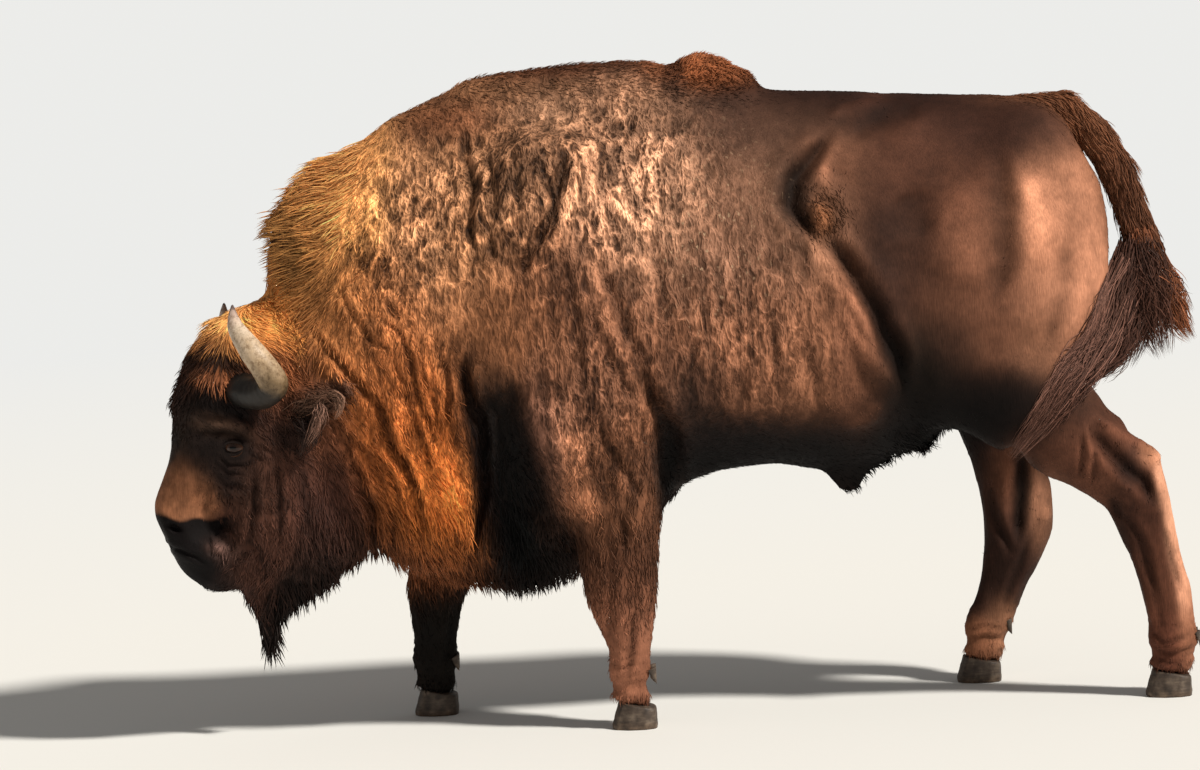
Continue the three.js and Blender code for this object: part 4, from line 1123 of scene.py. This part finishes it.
def strands_of(points, first, last, m, rings, rng):
    """Paths of m locks that follow one guide, from first to last along it."""
    line = spine(points, GUIDE_STEPS)
    centre, girth = place(line[:, :3]), line[:, 3] / MM
    begin = rng.uniform(first[0], first[1], m)
    end = last[0] + (last[1] - last[0]) * rng.random(m) ** 1.5
    t = np.linspace(0, 1, rings)[None, :]
    run = begin[:, None] + (end - begin)[:, None] * t
    s = np.clip(run, 0, 1) * (GUIDE_STEPS - 1)
    i = np.minimum(s.astype(int), GUIDE_STEPS - 2)
    f = (s - i)[..., None]
    at = centre[i] * (1 - f) + centre[i + 1] * f
    r = girth[i] * (1 - f[..., 0]) + girth[i + 1] * f[..., 0]
    angle = rng.uniform(0, 2 * np.pi, m)
    reach = np.sqrt(rng.uniform(0, 1, m))
    stray = rng.normal(0, 0.35, (m, 1)) * t
    waves = t * rng.uniform(0.6, 1.6, (m, 1)) + rng.random((m, 1))
    d = unit(np.gradient(centre, axis=0))[i]
    u = unit(np.cross(d, [0, 1, 0.05]))
    v = np.cross(d, u)
    across = (reach * np.cos(angle))[:, None] + stray + 0.24 * np.sin(2 * np.pi * waves)
    outward = (reach * np.sin(angle))[:, None] + 0.6 * stray
    return at + u * (across * r)[..., None] + v * (outward * r)[..., None]


def keep_outside(paths, body, rng):
    """Moves what would run inside the thigh to just outside its left face."""
    clear, spread, middle = 0.004, 0.006, 0.02
    for path in paths:
        for point in path:
            x, y, z = point
            hit = body.ray_cast(Vector((x, -1.0, z)), Vector((0, 1, 0)))[0]
            if hit is not None and hit[1] - clear < y < middle:
                point[1] = hit[1] - clear - spread * rng.random()


def strands(name, guides, chart, *, count, width, rings, seed, shade, body=None):
    """Locks that start inside a guide's girth and follow it to a ragged end.
    A guide is (points (x, y, z, girth), share, colour, from, to)."""
    rng = np.random.default_rng(seed)
    paths, colours, widths = [], [], []
    whole = np.array([guide[1] for guide in guides], float).sum()
    for points, share, colour, first, last in guides:
        m = int(count * share / whole)
        paths.append(strands_of(points, first, last, m, rings, rng))
        colours.append(np.array(colour)[None, :] * rng.uniform(0.42, 1.75, (m, 1)))
        widths.append(width / MM * rng.uniform(0.6, 1.4, m))
    paths = np.concatenate(paths)
    if body is not None:
        keep_outside(paths, body, rng)
    ups = unit(np.cross(paths[:, 1] - paths[:, 0], rng.normal(0, 1, (len(paths), 3))))
    t = np.linspace(0, 1, rings)[:-1]
    return locks(name, paths, np.concatenate(widths), ups, np.concatenate(colours),
                 map_place(chart, paths[:, 0]), shade, 0.5,
                 (0.75 + 0.5 * t) * (1 - t) ** 0.6 * 1.2)


TAIL_BROWN = (0.085, 0.037, 0.025)
TAIL_RED = (0.235, 0.084, 0.039)
TAIL_PALE = (0.165, 0.080, 0.058)
EAR_EDGE = (0.130, 0.068, 0.044)
EAR_TIP = (0.240, 0.130, 0.092)
EAR_FRINGE = (0.230, 0.125, 0.082)
# Painted shade: the locks hanging below the ear are nearly black, for the shadow under it.
EAR_UNDER_SHADE = (0.030, 0.016, 0.012)
TAIL_GUIDES = [
    ([(1344, -22, 1270, 36), (1368, -26, 1170, 44), (1400, -32, 1080, 42), (1440, -36, 1005, 32),
      (1478, -38, 944, 16)], 1, TAIL_RED, (0, 0.35), (0.45, 1)),
    ([(1350, -22, 1250, 30), (1390, -26, 1150, 34), (1430, -32, 1080, 26), (1472, -34, 1020, 12)],
     0.35, TAIL_RED, (0.1, 0.4), (0.6, 1)),
    ([(1340, -26, 1250, 40), (1328, -36, 1150, 50), (1322, -50, 1070, 50), (1310, -58, 980, 42),
      (1284, -62, 880, 18)], 1.1, TAIL_BROWN, (0, 0.3), (0.45, 1)),
    ([(1350, -28, 1240, 44), (1352, -36, 1150, 60), (1356, -44, 1070, 62), (1366, -48, 990, 50),
      (1390, -50, 900, 22)], 1.3, TAIL_BROWN, (0, 0.3), (0.42, 1)),
    ([(1330, -30, 1230, 36), (1290, -60, 1130, 44), (1250, -110, 1060, 44), (1210, -170, 990, 40),
      (1150, -240, 915, 34), (1090, -300, 850, 20)], 1.3, TAIL_BROWN, (0, 0.3), (0.5, 1)),
]
DRAPE_GUIDES = [
    ([(1300, -60, 1120, 40), (1236, -150, 1015, 46), (1166, -240, 945, 44), (1100, -300, 880, 38),
      (1030, -330, 800, 30), (975, -330, 735, 20), (930, -320, 680, 10)],
     1, TAIL_PALE, (0, 0.35), (0.45, 1)),
    ([(1280, -80, 1080, 34), (1200, -200, 960, 40), (1120, -290, 880, 40), (1060, -330, 810, 30),
      (1010, -335, 740, 16)], 0.7, TAIL_BROWN, (0, 0.4), (0.5, 1)),
    ([(1300, -60, 1200, 26), (1236, -130, 1110, 22), (1200, -190, 1030, 20), (1150, -260, 940, 18),
      (1110, -290, 880, 10)], 0.35, TAIL_PALE, (0, 0.3), (0.6, 1)),
    ([(1330, -60, 1060, 40), (1270, -120, 960, 40), (1190, -180, 900, 34), (1120, -230, 850, 16)],
     0.4, TAIL_BROWN, (0, 0.3), (0.6, 1)),
]
# The same in the head's frame, for each ear.
EAR_GUIDES = [
    ([(134, -228, 178, 28), (92, -268, 218, 30), (58, -298, 250, 22), (38, -316, 266, 8)],
     1, EAR_EDGE, (0, 0.4), (0.5, 1)),
    ([(66, -286, 250, 14), (96, -302, 262, 16), (142, -306, 260, 13), (198, -300, 248, 7)],
     0.6, EAR_TIP, (0, 0.3), (0.5, 1)),
    ([(40, -306, 264, 12), (40, -332, 270, 14), (66, -348, 270, 12), (104, -344, 262, 7)],
     0.6, EAR_FRINGE, (0, 0.3), (0.5, 1)),
    ([(120, -250, 200, 30), (150, -292, 226, 26), (190, -300, 226, 20), (230, -300, 216, 10)],
     0.7, EAR_UNDER_SHADE, (0, 0.3), (0.5, 1)),
]


def ear_guides():
    """Long hair of both ears, in the same terms as the tail's guides."""
    guides = []
    for side in SIDES[::-1]:
        for points, *rest in EAR_GUIDES:
            q = np.array(points, float)
            at = drawn(from_head(mirrored(q[:, :3], side)))
            guides.append((np.concatenate([at, q[:, 3:]], axis=1), *rest))
    return guides


# ---------------------------------------------------------------- horns, eyes and claws
# Centre u, v, w and radius in mm, from the root to the tip.
HORN_PATH = [(112, -82, 96, 50), (112, -101, 170, 47), (101, -139, 240, 44), (68, -155, 288, 41),
             (39, -123, 308, 38), (1, -63, 304, 33), (-34, -14, 272, 24), (-61, 6, 254, 15),
             (-90, 19, 236, 4)]


def tube(rings, sides):
    """The triangles between rings of points."""
    faces = []
    for k in range(rings - 1):
        for c in range(sides):
            i, j = k * sides + c, k * sides + (c + 1) % sides
            faces += [(i, j, j + sides), (i, j + sides, i + sides)]
    return faces


def horn(name, side):
    """A tapered, slightly fluted and ringed sheath with both ends closed."""
    rings, sides = 90, 28
    line = spine(HORN_PATH, rings)
    centre = mirrored(line[:, :3], side)
    t = np.linspace(0, 1, rings)
    radius = line[:, 3] * (1 + 0.010 * np.sin(t * 150) * smoothstep(0.62, 0.30, t))
    d = unit(np.gradient(centre, axis=0))
    u = unit(np.cross(d, [0.3, 1, 0.2]))
    for k in range(1, rings):
        u[k] = unit(u[k - 1] - d[k] * (u[k - 1] @ d[k]))
    v = np.cross(d, u)
    a = np.arange(sides) * 2 * np.pi / sides
    flutes = 1 + 0.012 * np.sin(3 * a + 1) + 0.008 * np.sin(7 * a)
    shell = (centre[:, None]
             + radius[:, None, None] * (flutes * np.cos(a))[None, :, None] * u[:, None]
             + radius[:, None, None] * (flutes * np.sin(a))[None, :, None] * v[:, None])
    tip = centre[-1] + d[-1] * 5
    points = np.concatenate([shell.reshape(-1, 3), centre[:1], tip[None]])
    faces = tube(rings, sides)
    root, point, last = rings * sides, rings * sides + 1, (rings - 1) * sides
    for c in range(sides):
        faces += [(root, (c + 1) % sides, c), (point, last + c, last + (c + 1) % sides)]
    faces = np.array(faces)
    if side < 0:
        faces = faces[:, ::-1]
    mesh = mesh_from(name, from_head(points), faces)
    run = np.concatenate([np.repeat(t, sides), [0, 1]])
    turn = np.concatenate([np.tile(a, rings), [0, 0]])
    paint(mesh, "run", np.stack([run, np.cos(turn) * 0.5 + 0.5, np.sin(turn) * 0.5 + 0.5], axis=1))
    return add_object(name, mesh)


def eyeball(name, side):
    """A ball with a raised cornea; the attribute holds the place on the iris."""
    centre, out, slit, up = eye_frame(side)
    rings, sides = 40, 48
    points = []
    for k in range(rings + 1):
        polar = math.pi * k / rings
        bulge = EYE_RADIUS + 2.2 * math.exp(-(polar / 0.42) ** 2)
        for c in range(sides):
            a = 2 * math.pi * c / sides
            x, y = math.sin(polar) * math.cos(a), math.sin(polar) * math.sin(a)
            points.append(centre + bulge * (math.cos(polar) * out + x * slit + y * up))
    mesh = mesh_from(name, from_head(np.array(points)), np.array(tube(rings + 1, sides)))
    bm = bmesh.new()
    bm.from_mesh(mesh)
    bmesh.ops.remove_doubles(bm, verts=bm.verts, dist=1e-5)
    bmesh.ops.recalc_face_normals(bm, faces=bm.faces)
    bm.to_mesh(mesh)
    bm.free()
    q = (to_head(points_of(mesh)) - centre) / EYE_RADIUS
    paint(mesh, "iris", np.stack([0.5 + q @ slit / 2, 0.5 + q @ up / 2,
                                  np.clip(q @ out, 0, 1)], axis=1))
    return add_object(name, mesh)


def claws(kind):
    """The claws or the dewclaws with their facets rounded over, soles flat on the floor."""
    nodes = [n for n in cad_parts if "_" + kind + "_" in n]
    piece = fused(kind + "s", [grown(node, GROWTH) for node in nodes], CLAW_CELL)
    p = relax(points_of(piece.data), edges_of(piece.data), 7, 0.6)
    if kind == "claw":
        height = p[:, 2]
        ring = np.sin(height * 1000 / 5.5 + 1.5 * noise(p, 0.03, 3))
        p = p + normals_of(piece.data) * (0.0004 * ring * smoothstep(0.006, 0.02, height))[:, None]
        p[:, 2] = np.where(height < 0.004, 0, np.maximum(p[:, 2], 0))
    set_points(piece.data, p)
    declare(piece, "hoof", *nodes)
    return piece


# ---------------------------------------------------------------- materials
class Shader:
    """A node material, built link by link."""

    def __init__(self, name, roughness, specular):
        self.material = bpy.data.materials.new(name)
        self.material.use_nodes = True
        self.nodes = self.material.node_tree.nodes
        self.links = self.material.node_tree.links
        self.base = self.nodes["Principled BSDF"]
        self.base.inputs["Roughness"].default_value = roughness
        self.base.inputs["Specular IOR Level"].default_value = specular

    def put(self, node, socket, value):
        socket = node.inputs[socket]
        if isinstance(value, bpy.types.NodeSocket):
            self.links.new(value, socket)
        else:
            socket.default_value = value

    def add(self, kind, **inputs):
        node = self.nodes.new("ShaderNode" + kind)
        for key, value in inputs.items():
            self.put(node, key, value)
        return node

    def attribute(self, name):
        node = self.add("Attribute")
        node.attribute_name = name
        return node.outputs["Color"]

    def part(self, vector, axis):
        return self.add("SeparateXYZ", Vector=vector).outputs[axis]

    def coordinates(self, scale=(1, 1, 1), lean=0):
        """Object coordinates, scaled and leaned by degrees about Y."""
        source = self.add("TexCoord").outputs["Object"]
        return self.add("Mapping", Vector=source, Scale=scale,
                        Rotation=(0, math.radians(lean), 0)).outputs[0]

    def noise(self, vector, scale, detail=3, rough=0.55, distortion=0.0):
        return self.add("TexNoise", Vector=vector, Scale=scale, Detail=detail,
                        Roughness=rough, Distortion=distortion).outputs["Fac"]

    def cells(self, vector, scale):
        node = self.add("TexVoronoi", Vector=vector, Scale=scale)
        node.feature = "DISTANCE_TO_EDGE"
        return node.outputs["Distance"]

    def math(self, operation, a, b=0.5, clamp=False):
        node = self.add("Math")
        node.operation = operation
        node.use_clamp = clamp
        self.put(node, 0, a)
        self.put(node, 1, b)
        return node.outputs[0]

    def times(self, a, b, clamp=False):
        return self.math("MULTIPLY", a, b, clamp)

    def plus(self, a, b):
        return self.math("ADD", a, b)

    def minus(self, a, b):
        return self.math("SUBTRACT", a, b)

    def ramp(self, factor, *stops):
        """Stops are (place, colour); one number stands for a grey."""
        node = self.add("ValToRGB", Fac=factor)
        while len(node.color_ramp.elements) < len(stops):
            node.color_ramp.elements.new(0.5)
        for element, (at, colour) in zip(node.color_ramp.elements, stops):
            element.position = at
            element.color = (*(colour if isinstance(colour, tuple) else (colour,) * 3), 1)
        return node.outputs["Color"]

    def mix(self, factor, a, b, kind="MIX"):
        node = self.add("Mix")
        node.data_type = "RGBA"
        node.blend_type = kind
        for index, value in ((0, factor), (6, a), (7, b)):
            self.put(node, index, (*value, 1) if isinstance(value, tuple) else value)
        return node.outputs[2]

    def tint(self, factor, a, b):
        return self.mix(factor, a, b, "MULTIPLY")

    def bump(self, height, strength, distance, under=None):
        node = self.add("Bump", Height=height, Strength=strength, Distance=distance)
        if under is not None:
            self.links.new(under, node.inputs["Normal"])
        return node.outputs[0]

    def done(self, colour, normal=None):
        self.put(self.base, "Base Color", colour)
        if normal is not None:
            self.links.new(normal, self.base.inputs["Normal"])
        return self.material


PALE_SPECKS = (0.44, 0.28, 0.17)


def hide_material():
    """Short flat hair over crinkled skin: the form's colour, broken up at three scales, with
    painted highlights on the crinkles' crests and painted shade in their furrows.
    """
    s = Shader("hide", 0.72, 0.12)
    tone_in = s.attribute("tone")
    mask = s.attribute("mask")
    crinkle, flecked, bare = (s.part(mask, axis) for axis in range(3))
    straight = s.coordinates()
    leaning = s.coordinates((1, 1, 0.42), -12)
    ridges = []
    for scale, sharp in ((36, 7.0), (68, 6.0)):
        level = s.math("ABSOLUTE", s.minus(s.noise(leaning, scale, 2, 0.5, 0.5), 0.5))
        ridges.append(s.math("SUBTRACT", 1.0, s.times(level, sharp), True))
    fibre = s.noise(s.coordinates((1, 1, 0.10), -20), 330, 3, 0.6)
    broad = s.noise(straight, 9, 4, 0.6)
    patch = s.noise(straight, 34, 3, 0.6)
    # Painted light and shade: crinkle crests lighter as highlights, furrows darker as shade.
    cells = s.plus(s.times(ridges[0], 0.62), s.times(ridges[1], 0.38))
    crest = s.ramp(cells, (0.05, (0.15, 0.13, 0.12)), (0.42, (0.80, 0.77, 0.75)),
                   (0.82, (2.10, 2.15, 2.25)))
    tinted = s.mix(crinkle, tone_in, s.tint(1.0, tone_in, crest))
    tinted = s.tint(1.0, tinted, s.ramp(broad, (0.30, (0.76, 0.74, 0.72)), (0.70, 1.22)))
    tinted = s.tint(0.8, tinted, s.ramp(fibre, (0.28, (0.70, 0.68, 0.67)), (0.72, 1.32)))
    tinted = s.tint(1.0, tinted, s.ramp(patch, (0.30, 0.84), (0.72, 1.14)))
    specks = s.noise(s.coordinates((1, 1, 0.7)), 92, 2, 0.5)
    specks = s.times(s.times(s.minus(specks, 0.63), 12.0, True), flecked, True)
    tinted = s.mix(specks, tinted, PALE_SPECKS)
    wrinkled = s.bump(s.times(cells, crinkle), 1.0, 0.010)
    haired = s.bump(fibre, 0.7, 0.0020, wrinkled)
    pored = s.bump(s.times(s.cells(straight, 260), bare), 0.8, 0.003, haired)
    worn_and_side_shade = s.plus(s.times(bare, 0.26), s.times(crinkle, 0.20))
    s.put(s.base, "Roughness", s.minus(0.76, worn_and_side_shade))
    return s.done(tinted, pored)


def fur_material():
    s = Shader("fur", 0.60, 0.14)
    fibre = s.noise(s.coordinates((1, 1, 0.3)), 420, 2)
    fine = s.ramp(fibre, (0.3, (0.80, 0.79, 0.78)), (0.7, 1.22))
    return s.done(s.tint(1.0, s.attribute("tone"), fine), s.bump(fibre, 0.3, 0.001))


def horn_material():
    """Black at the root as painted shade, pale and stained along the sheath, grey at the tip, one
    side painted darker as shade.
    """
    s = Shader("horn_sheath", 0.46, 0.30)
    run_colour = s.attribute("run")
    run, turn = s.part(run_colour, 0), s.part(run_colour, 1)
    straight = s.coordinates()
    wander = s.plus(run, s.times(s.minus(s.noise(straight, 26, 3), 0.5), 0.22))
    # Painted shade: the ramp starts black at the root, for the shadow the base sits in.
    base = s.ramp(wander, (0.10, (0.005, 0.004, 0.003)), (0.34, (0.022, 0.016, 0.011)),
                  (0.44, (0.210, 0.145, 0.080)), (0.56, (0.560, 0.420, 0.280)),
                  (0.72, (0.760, 0.640, 0.520)), (0.88, (0.600, 0.470, 0.420)),
                  (1.00, (0.170, 0.130, 0.130)))
    stain = s.noise(straight, 85, 4, 0.65)
    marks = s.ramp(stain, (0.36, (0.45, 0.38, 0.30)), (0.52, 1), (0.75, (1.15, 1.12, 1.05)))
    base = s.tint(0.75, base, marks)
    grain = s.noise(s.coordinates((1, 1, 0.25), 35), 300, 3)
    base = s.tint(0.35, base, s.ramp(grain, (0.35, (0.7, 0.66, 0.6)), (0.65, 1.1)))
    # Painted light and shade: one side of the sheath darker and the other lighter, by the angle
    # round it.
    worn_and_side_shade = s.ramp(turn, (0.0, (0.80, 0.74, 0.66)), (0.6, 1), (1.0, (1.12, 1.08, 1.0)))
    base = s.tint(0.7, base, worn_and_side_shade)
    return s.done(base, s.bump(grain, 0.35, 0.001, s.bump(stain, 0.35, 0.002)))


def eye_material():
    """A dark brown iris with a lying slit pupil, and a darker rim."""
    s = Shader("eye_wet", 0.09, 0.28)
    place_on = s.attribute("iris")
    x, y = (s.minus(s.part(place_on, axis), 0.5) for axis in (0, 1))
    radius = s.math("SQRT", s.plus(s.times(x, x), s.times(y, y)))
    slot = s.math("SQRT", s.plus(s.times(s.times(x, x), 0.30), s.times(s.times(y, y), 1.9)))
    iris = s.ramp(radius, (0.16, (0.024, 0.010, 0.006)), (0.42, (0.080, 0.036, 0.021)),
                  (0.53, (0.006, 0.004, 0.004)), (0.66, (0.060, 0.032, 0.026)))
    pupil = s.ramp(slot, (0.085, 0.0), (0.11, 1))
    fibres = s.noise(s.coordinates(), 700, 2)
    iris = s.tint(0.6, iris, s.ramp(fibres, (0.3, 0.6), (0.7, 1.3)))
    return s.done(s.tint(1.0, iris, pupil))


def hoof_material():
    """Grey horn in layers, stained, and dusty at the sole."""
    s = Shader("hoof_horn", 0.55, 0.35)
    layers = s.noise(s.coordinates((0.15, 0.15, 1)), 210, 3)
    stain = s.noise(s.coordinates(), 40, 4)
    base = s.ramp(stain, (0.30, (0.030, 0.022, 0.017)), (0.52, (0.075, 0.054, 0.040)),
                  (0.75, (0.150, 0.115, 0.085)))
    grown_on = s.ramp(layers, (0.35, (0.65, 0.62, 0.60)), (0.65, (1.25, 1.22, 1.2)))
    base = s.tint(0.6, base, grown_on)
    dust = s.ramp(s.part(s.coordinates(), 2), (0.0, (1.9, 1.7, 1.45)), (0.022, 1))
    base = s.tint(0.7, base, dust)
    return s.done(base, s.bump(layers, 0.5, 0.002, s.bump(stain, 0.4, 0.002)))


# ---------------------------------------------------------------- the skin
def smoothed(p, edges):
    """Rounds off the CAD facets, less on the thin forms, whose volume is kept."""
    thin = np.maximum(legness(p), smoothstep(1.06, 1.12, p[:, 0]))
    thin = np.maximum(thin, smoothstep(-0.98, -1.06, p[:, 0]))
    p = relax(p, edges, 10, 0.6)
    p = relax(p, edges, 26, 0.6 * (1 - thin))
    return relax(p, edges, 26, 0.62 * thin, 1.02)


def refine_head(mesh, p):
    """Splits the faces of the head once, and those round eyes and nostrils again."""
    finer(mesh, (p[:, 0] < -0.98) & (p[:, 2] > 0.38))
    p = points_of(mesh)
    p = relax(p, edges_of(mesh), 3, 0.5 * smoothstep(-0.94, -1.0, p[:, 0]), 0.9)
    q = to_head(p)
    close = np.zeros(len(p), bool)
    for side in SIDES:
        from_nostril = (q - [540, -90, side * 55]) / [1, 1.3, 1]
        close |= eye_distance(q, side) < LIDS_REACH
        close |= np.linalg.norm(from_nostril, axis=1) < LIDS_REACH
    set_points(mesh, p)
    finer(mesh, close)


def inside_coat(p, n):
    """Draws the skin in by the coat's depth: 6 mm, 3 on the legs, 4 on the head."""
    depth = 0.006 - 0.003 * legness(p)
    depth = depth - 0.002 * smoothstep(-0.96, -1.06, p[:, 0])
    return p - n * depth[:, None]


def creased(p, n):
    """Presses in the folds where the side faces the viewer, and the wrinkles everywhere."""
    facing = smoothstep(0.22, 0.55, np.abs(n[:, 1]))
    return p - n * ((1.15 * folded(p) * facing + wrinkles(p, n)) / MM)[:, None]


def make_skin():
    """The flesh as one closed surface, with a core inside each mass of long hair."""
    parts = [grown(node, GROWTH) for node in FLESH + LEGS + ["eye_left", "eye_right"]]
    parts += [grown(node, -depth) for node, depth in HAIR.items()]
    skin = fused("skin", parts, SKIN_CELL)
    mesh = skin.data
    p = smoothed(points_of(mesh), edges_of(mesh))
    set_points(mesh, p)
    refine_head(mesh, p)
    p = tuck(inside_coat(points_of(mesh), normals_of(mesh)))
    set_points(mesh, p)
    p = creased(p, normals_of(mesh))
    p = relax(p, edges_of(mesh), 1, 0.3 * (p[:, 0] > -1.0))
    set_points(mesh, p)
    set_points(mesh, sculpt_head(p, normals_of(mesh)))
    declare(skin, "brown_coat", *FLESH, *LEGS, *HAIR, "tail_tuft")
    return skin


def paint_skin(mesh):
    """The hide's colour, with its painted shade and highlights, and masks for crinkles, pale
    flecks and bare skin.
    """
    p = points_of(mesh)
    paint(mesh, "tone", tone(p))
    q = to_head(p)
    nose = bell((q[:, 0] - 590) / 58, (q[:, 1] + 105) / 105, q[:, 2] / 95, power=2)
    lids = sum(np.exp(-(eye_distance(q, side) / 40) ** 6) for side in SIDES)
    x, z = side_view(p)
    flecks = bell((x - 150) / 170, (z - 1330) / 230)
    bare = np.clip(nose + 0.5 * lids, 0, 1)
    paint(mesh, "mask", np.stack([crinkles(p)[1], flecks, bare], axis=1))


# ---------------------------------------------------------------- the coat
THINNING = 0.72      # of the tables' tufts to the square metre
FEWEST_LOCKS = 40    # a piece with fewer is left out
MOST_TRIANGLES = 195000
LONG_HAIR = 30       # mm
SHORT_RINGS, LONG_RINGS = 3, 5
BARE_EYE = 38        # mm
CLAW_TOP = 0.052


def regions(middle):
    """Which triangles belong to each region; a triangle goes to the first that has it."""
    x, z = middle[:, 0], middle[:, 2]
    shoulder_back = x < -0.05
    return {
        "coat_head": x < -1.02,
        "coat_neck": x < -0.60,
        "coat_shoulders": shoulder_back & (z > 0.75),
        "coat_trunk": ~shoulder_back & (x < 0.62) & (z > 0.62),
        "coat_rump": (x >= 0.62) & (z > 0.62),
        "coat_forelegs": (x < 0.30) & (z <= 0.75),
        "coat_hindlegs": (x >= 0.30) & (z <= 0.62),
    }


def make_coat(skin, chart, triangles):
    """Tufts and locks over the whole skin, region by region."""
    rng = np.random.default_rng(20)
    p = points_of(skin.data)
    middle = p[triangles].mean(axis=1)
    q = to_head(middle)
    bare = (np.minimum(*(eye_distance(q, side) for side in SIDES)) < BARE_EYE) \
        | (middle[:, 2] < CLAW_TOP)
    density = np.where(bare, 0, habits(middle)[0][:, 5]) * THINNING
    taken = np.zeros(len(middle), bool)
    coats = []
    for k, (name, chosen) in enumerate(regions(middle).items()):
        chosen = chosen & ~taken
        taken |= chosen
        roots, picks = sample(p, triangles[chosen], density[chosen], 100 + k)
        a, b, c = np.moveaxis(p[triangles[chosen][picks]], 1, 0)
        normals = unit(np.cross(b - a, c - a))
        habit, lay = habits(roots)
        uneven = 1 + 0.24 * noise(roots, 0.03, 7) + 0.16 * noise(roots, 0.11, 8)
        vary = np.interp(habit[:, 0], [12, 34], [0.12, 0.30]) * rng.uniform(-1, 1, len(roots))
        colour = np.clip(tone(roots) * uneven[:, None] * (1 + vary)[:, None], 0.002, 0.95)
        long = habit[:, 0] > LONG_HAIR
        for part, of_part, rings in (("", ~long, SHORT_RINGS), ("_long", long, LONG_RINGS)):
            index = np.flatnonzero(of_part)
            if len(index) < FEWEST_LOCKS:
                continue
            paths = grow(roots[index], normals[index], lay[index], habit[index], rings, 300 + k)
            spread = np.random.default_rng(k).uniform(0.7, 1.3, len(index))
            widths = habit[index, 1] / MM * spread
            most = MOST_TRIANGLES // len(lock_faces(rings - 1))
            for number, start in enumerate(range(0, len(index), most)):
                cut = slice(start, start + most)
                here = index[cut]
                # Painted shade at each lock's root, deepest on long hair.
                shade = np.interp(habit[here, 0], [8, 13, 34], [0.72, 0.90, 0.55])
                coats.append(locks(f"{name}{part}_{number}", paths[cut], widths[cut],
                                   normals[here], colour[here],
                                   map_place(chart, roots[here]), shade))
    return coats


def make_animal():
    skin = make_skin()
    paint_skin(skin.data)
    skin.data.calc_loop_triangles()
    triangles = read_indices(skin.data.loop_triangles, "vertices", 3)
    chart = unwrapped(skin)
    coats = make_coat(skin, chart, triangles)
    points = [tuple(v) for v in points_of(skin.data)]
    body = BVHTree.FromPolygons(points, triangles.tolist())
    coats += [strands("tail_locks", TAIL_GUIDES, chart, count=3600, width=3.8, rings=8, seed=501,
                      shade=0.62, body=body),
              strands("tail_drape", DRAPE_GUIDES, chart, count=1500, width=3.0, rings=9, seed=502,
                      shade=0.8, body=body),
              strands("ear_locks", ear_guides(), chart, count=900, width=3.0, rings=6, seed=503,
                      shade=0.7)]
    horns = [horn("horns_left", 1), horn("horns_right", -1)]
    eyes = [eyeball("eyes_left", 1), eyeball("eyes_right", -1)]
    for kind, pieces in (("horn", horns), ("eye", eyes)):
        for piece, side in zip(pieces, ("left", "right")):
            declare(piece, kind, f"{kind}_{side}")
    hooves = [claws("claw"), claws("dewclaw")]
    for pieces, material in (([skin], hide_material()), (coats, fur_material()),
                             (horns, horn_material()), (eyes, eye_material()),
                             (hooves, hoof_material())):
        for piece in pieces:
            piece.data.materials.clear()
            piece.data.materials.append(material)


# ---------------------------------------------------------------- floor and light
PAPER = (0.84, 0.84, 0.82, 1)
FLOOR_RADIUS, FLOOR_CORNERS = 40, 96
SKY_COLOUR, SKY_STRENGTH = (1.0, 0.97, 0.93, 1), 0.22
SUN_COLOUR, SUN_STRENGTH, SUN_ANGLE = (1, 0.95, 0.87), 4.1, math.radians(6)
SUN_FROM = (0.62, -0.44, 0.72)


def make_floor():
    """A pale floor that turns into the backdrop's plain colour far from the animal."""
    a = np.linspace(0, 2 * np.pi, FLOOR_CORNERS, endpoint=False)
    rim = np.stack([FLOOR_RADIUS * np.cos(a), FLOOR_RADIUS * np.sin(a), 0 * a], axis=1)
    faces = [[FLOOR_CORNERS, k, (k + 1) % FLOOR_CORNERS] for k in range(FLOOR_CORNERS)]
    floor = add_object("floor", mesh_from("floor", np.concatenate([rim, [[0, 0, 0]]]),
                                          np.array(faces)))
    s = Shader("paper", 0.9, 0.1)
    distance = s.add("VectorMath")
    distance.operation = "LENGTH"
    s.put(distance, 0, s.coordinates())
    far = s.ramp(s.math("DIVIDE", distance.outputs["Value"], 16), (0.16, 0), (0.75, 1))
    seen = s.add("LightPath").outputs["Is Camera Ray"]
    s.done(PAPER)
    glow = s.add("Emission", Color=PAPER, Strength=1.0)
    blend = s.add("MixShader")
    for socket, value in enumerate((s.times(far, seen), s.base.outputs[0], glow.outputs[0])):
        s.put(blend, socket, value)
    s.put(s.nodes["Material Output"], "Surface", blend.outputs[0])
    floor.data.materials.append(s.material)


def make_light():
    """A soft sky, which the camera sees as plain paper, and a sun from above.
    It stands on the tail's side and a little on the camera's."""
    world = bpy.data.worlds.new("world")
    bpy.context.scene.world = world
    world.use_nodes = True
    nodes, links = world.node_tree.nodes, world.node_tree.links
    soft, seen = nodes["Background"], nodes.new("ShaderNodeBackground")
    for node, colour, strength in ((soft, SKY_COLOUR, SKY_STRENGTH), (seen, PAPER, 1.0)):
        node.inputs["Color"].default_value = colour
        node.inputs["Strength"].default_value = strength
    rays = nodes.new("ShaderNodeLightPath")
    either = nodes.new("ShaderNodeMixShader")
    links.new(rays.outputs["Is Camera Ray"], either.inputs[0])
    links.new(soft.outputs[0], either.inputs[1])
    links.new(seen.outputs[0], either.inputs[2])
    links.new(either.outputs[0], nodes["World Output"].inputs["Surface"])
    sun = bpy.data.lights.new("sun", "SUN")
    sun.energy, sun.angle, sun.color = SUN_STRENGTH, SUN_ANGLE, SUN_COLOUR
    lamp = add_object("sun", sun)
    lamp.rotation_euler = Vector(SUN_FROM).to_track_quat("Z", "Y").to_euler()


camera()
make_animal()
make_floor()
make_light()
bpy.context.scene.view_settings.view_transform = "Standard"
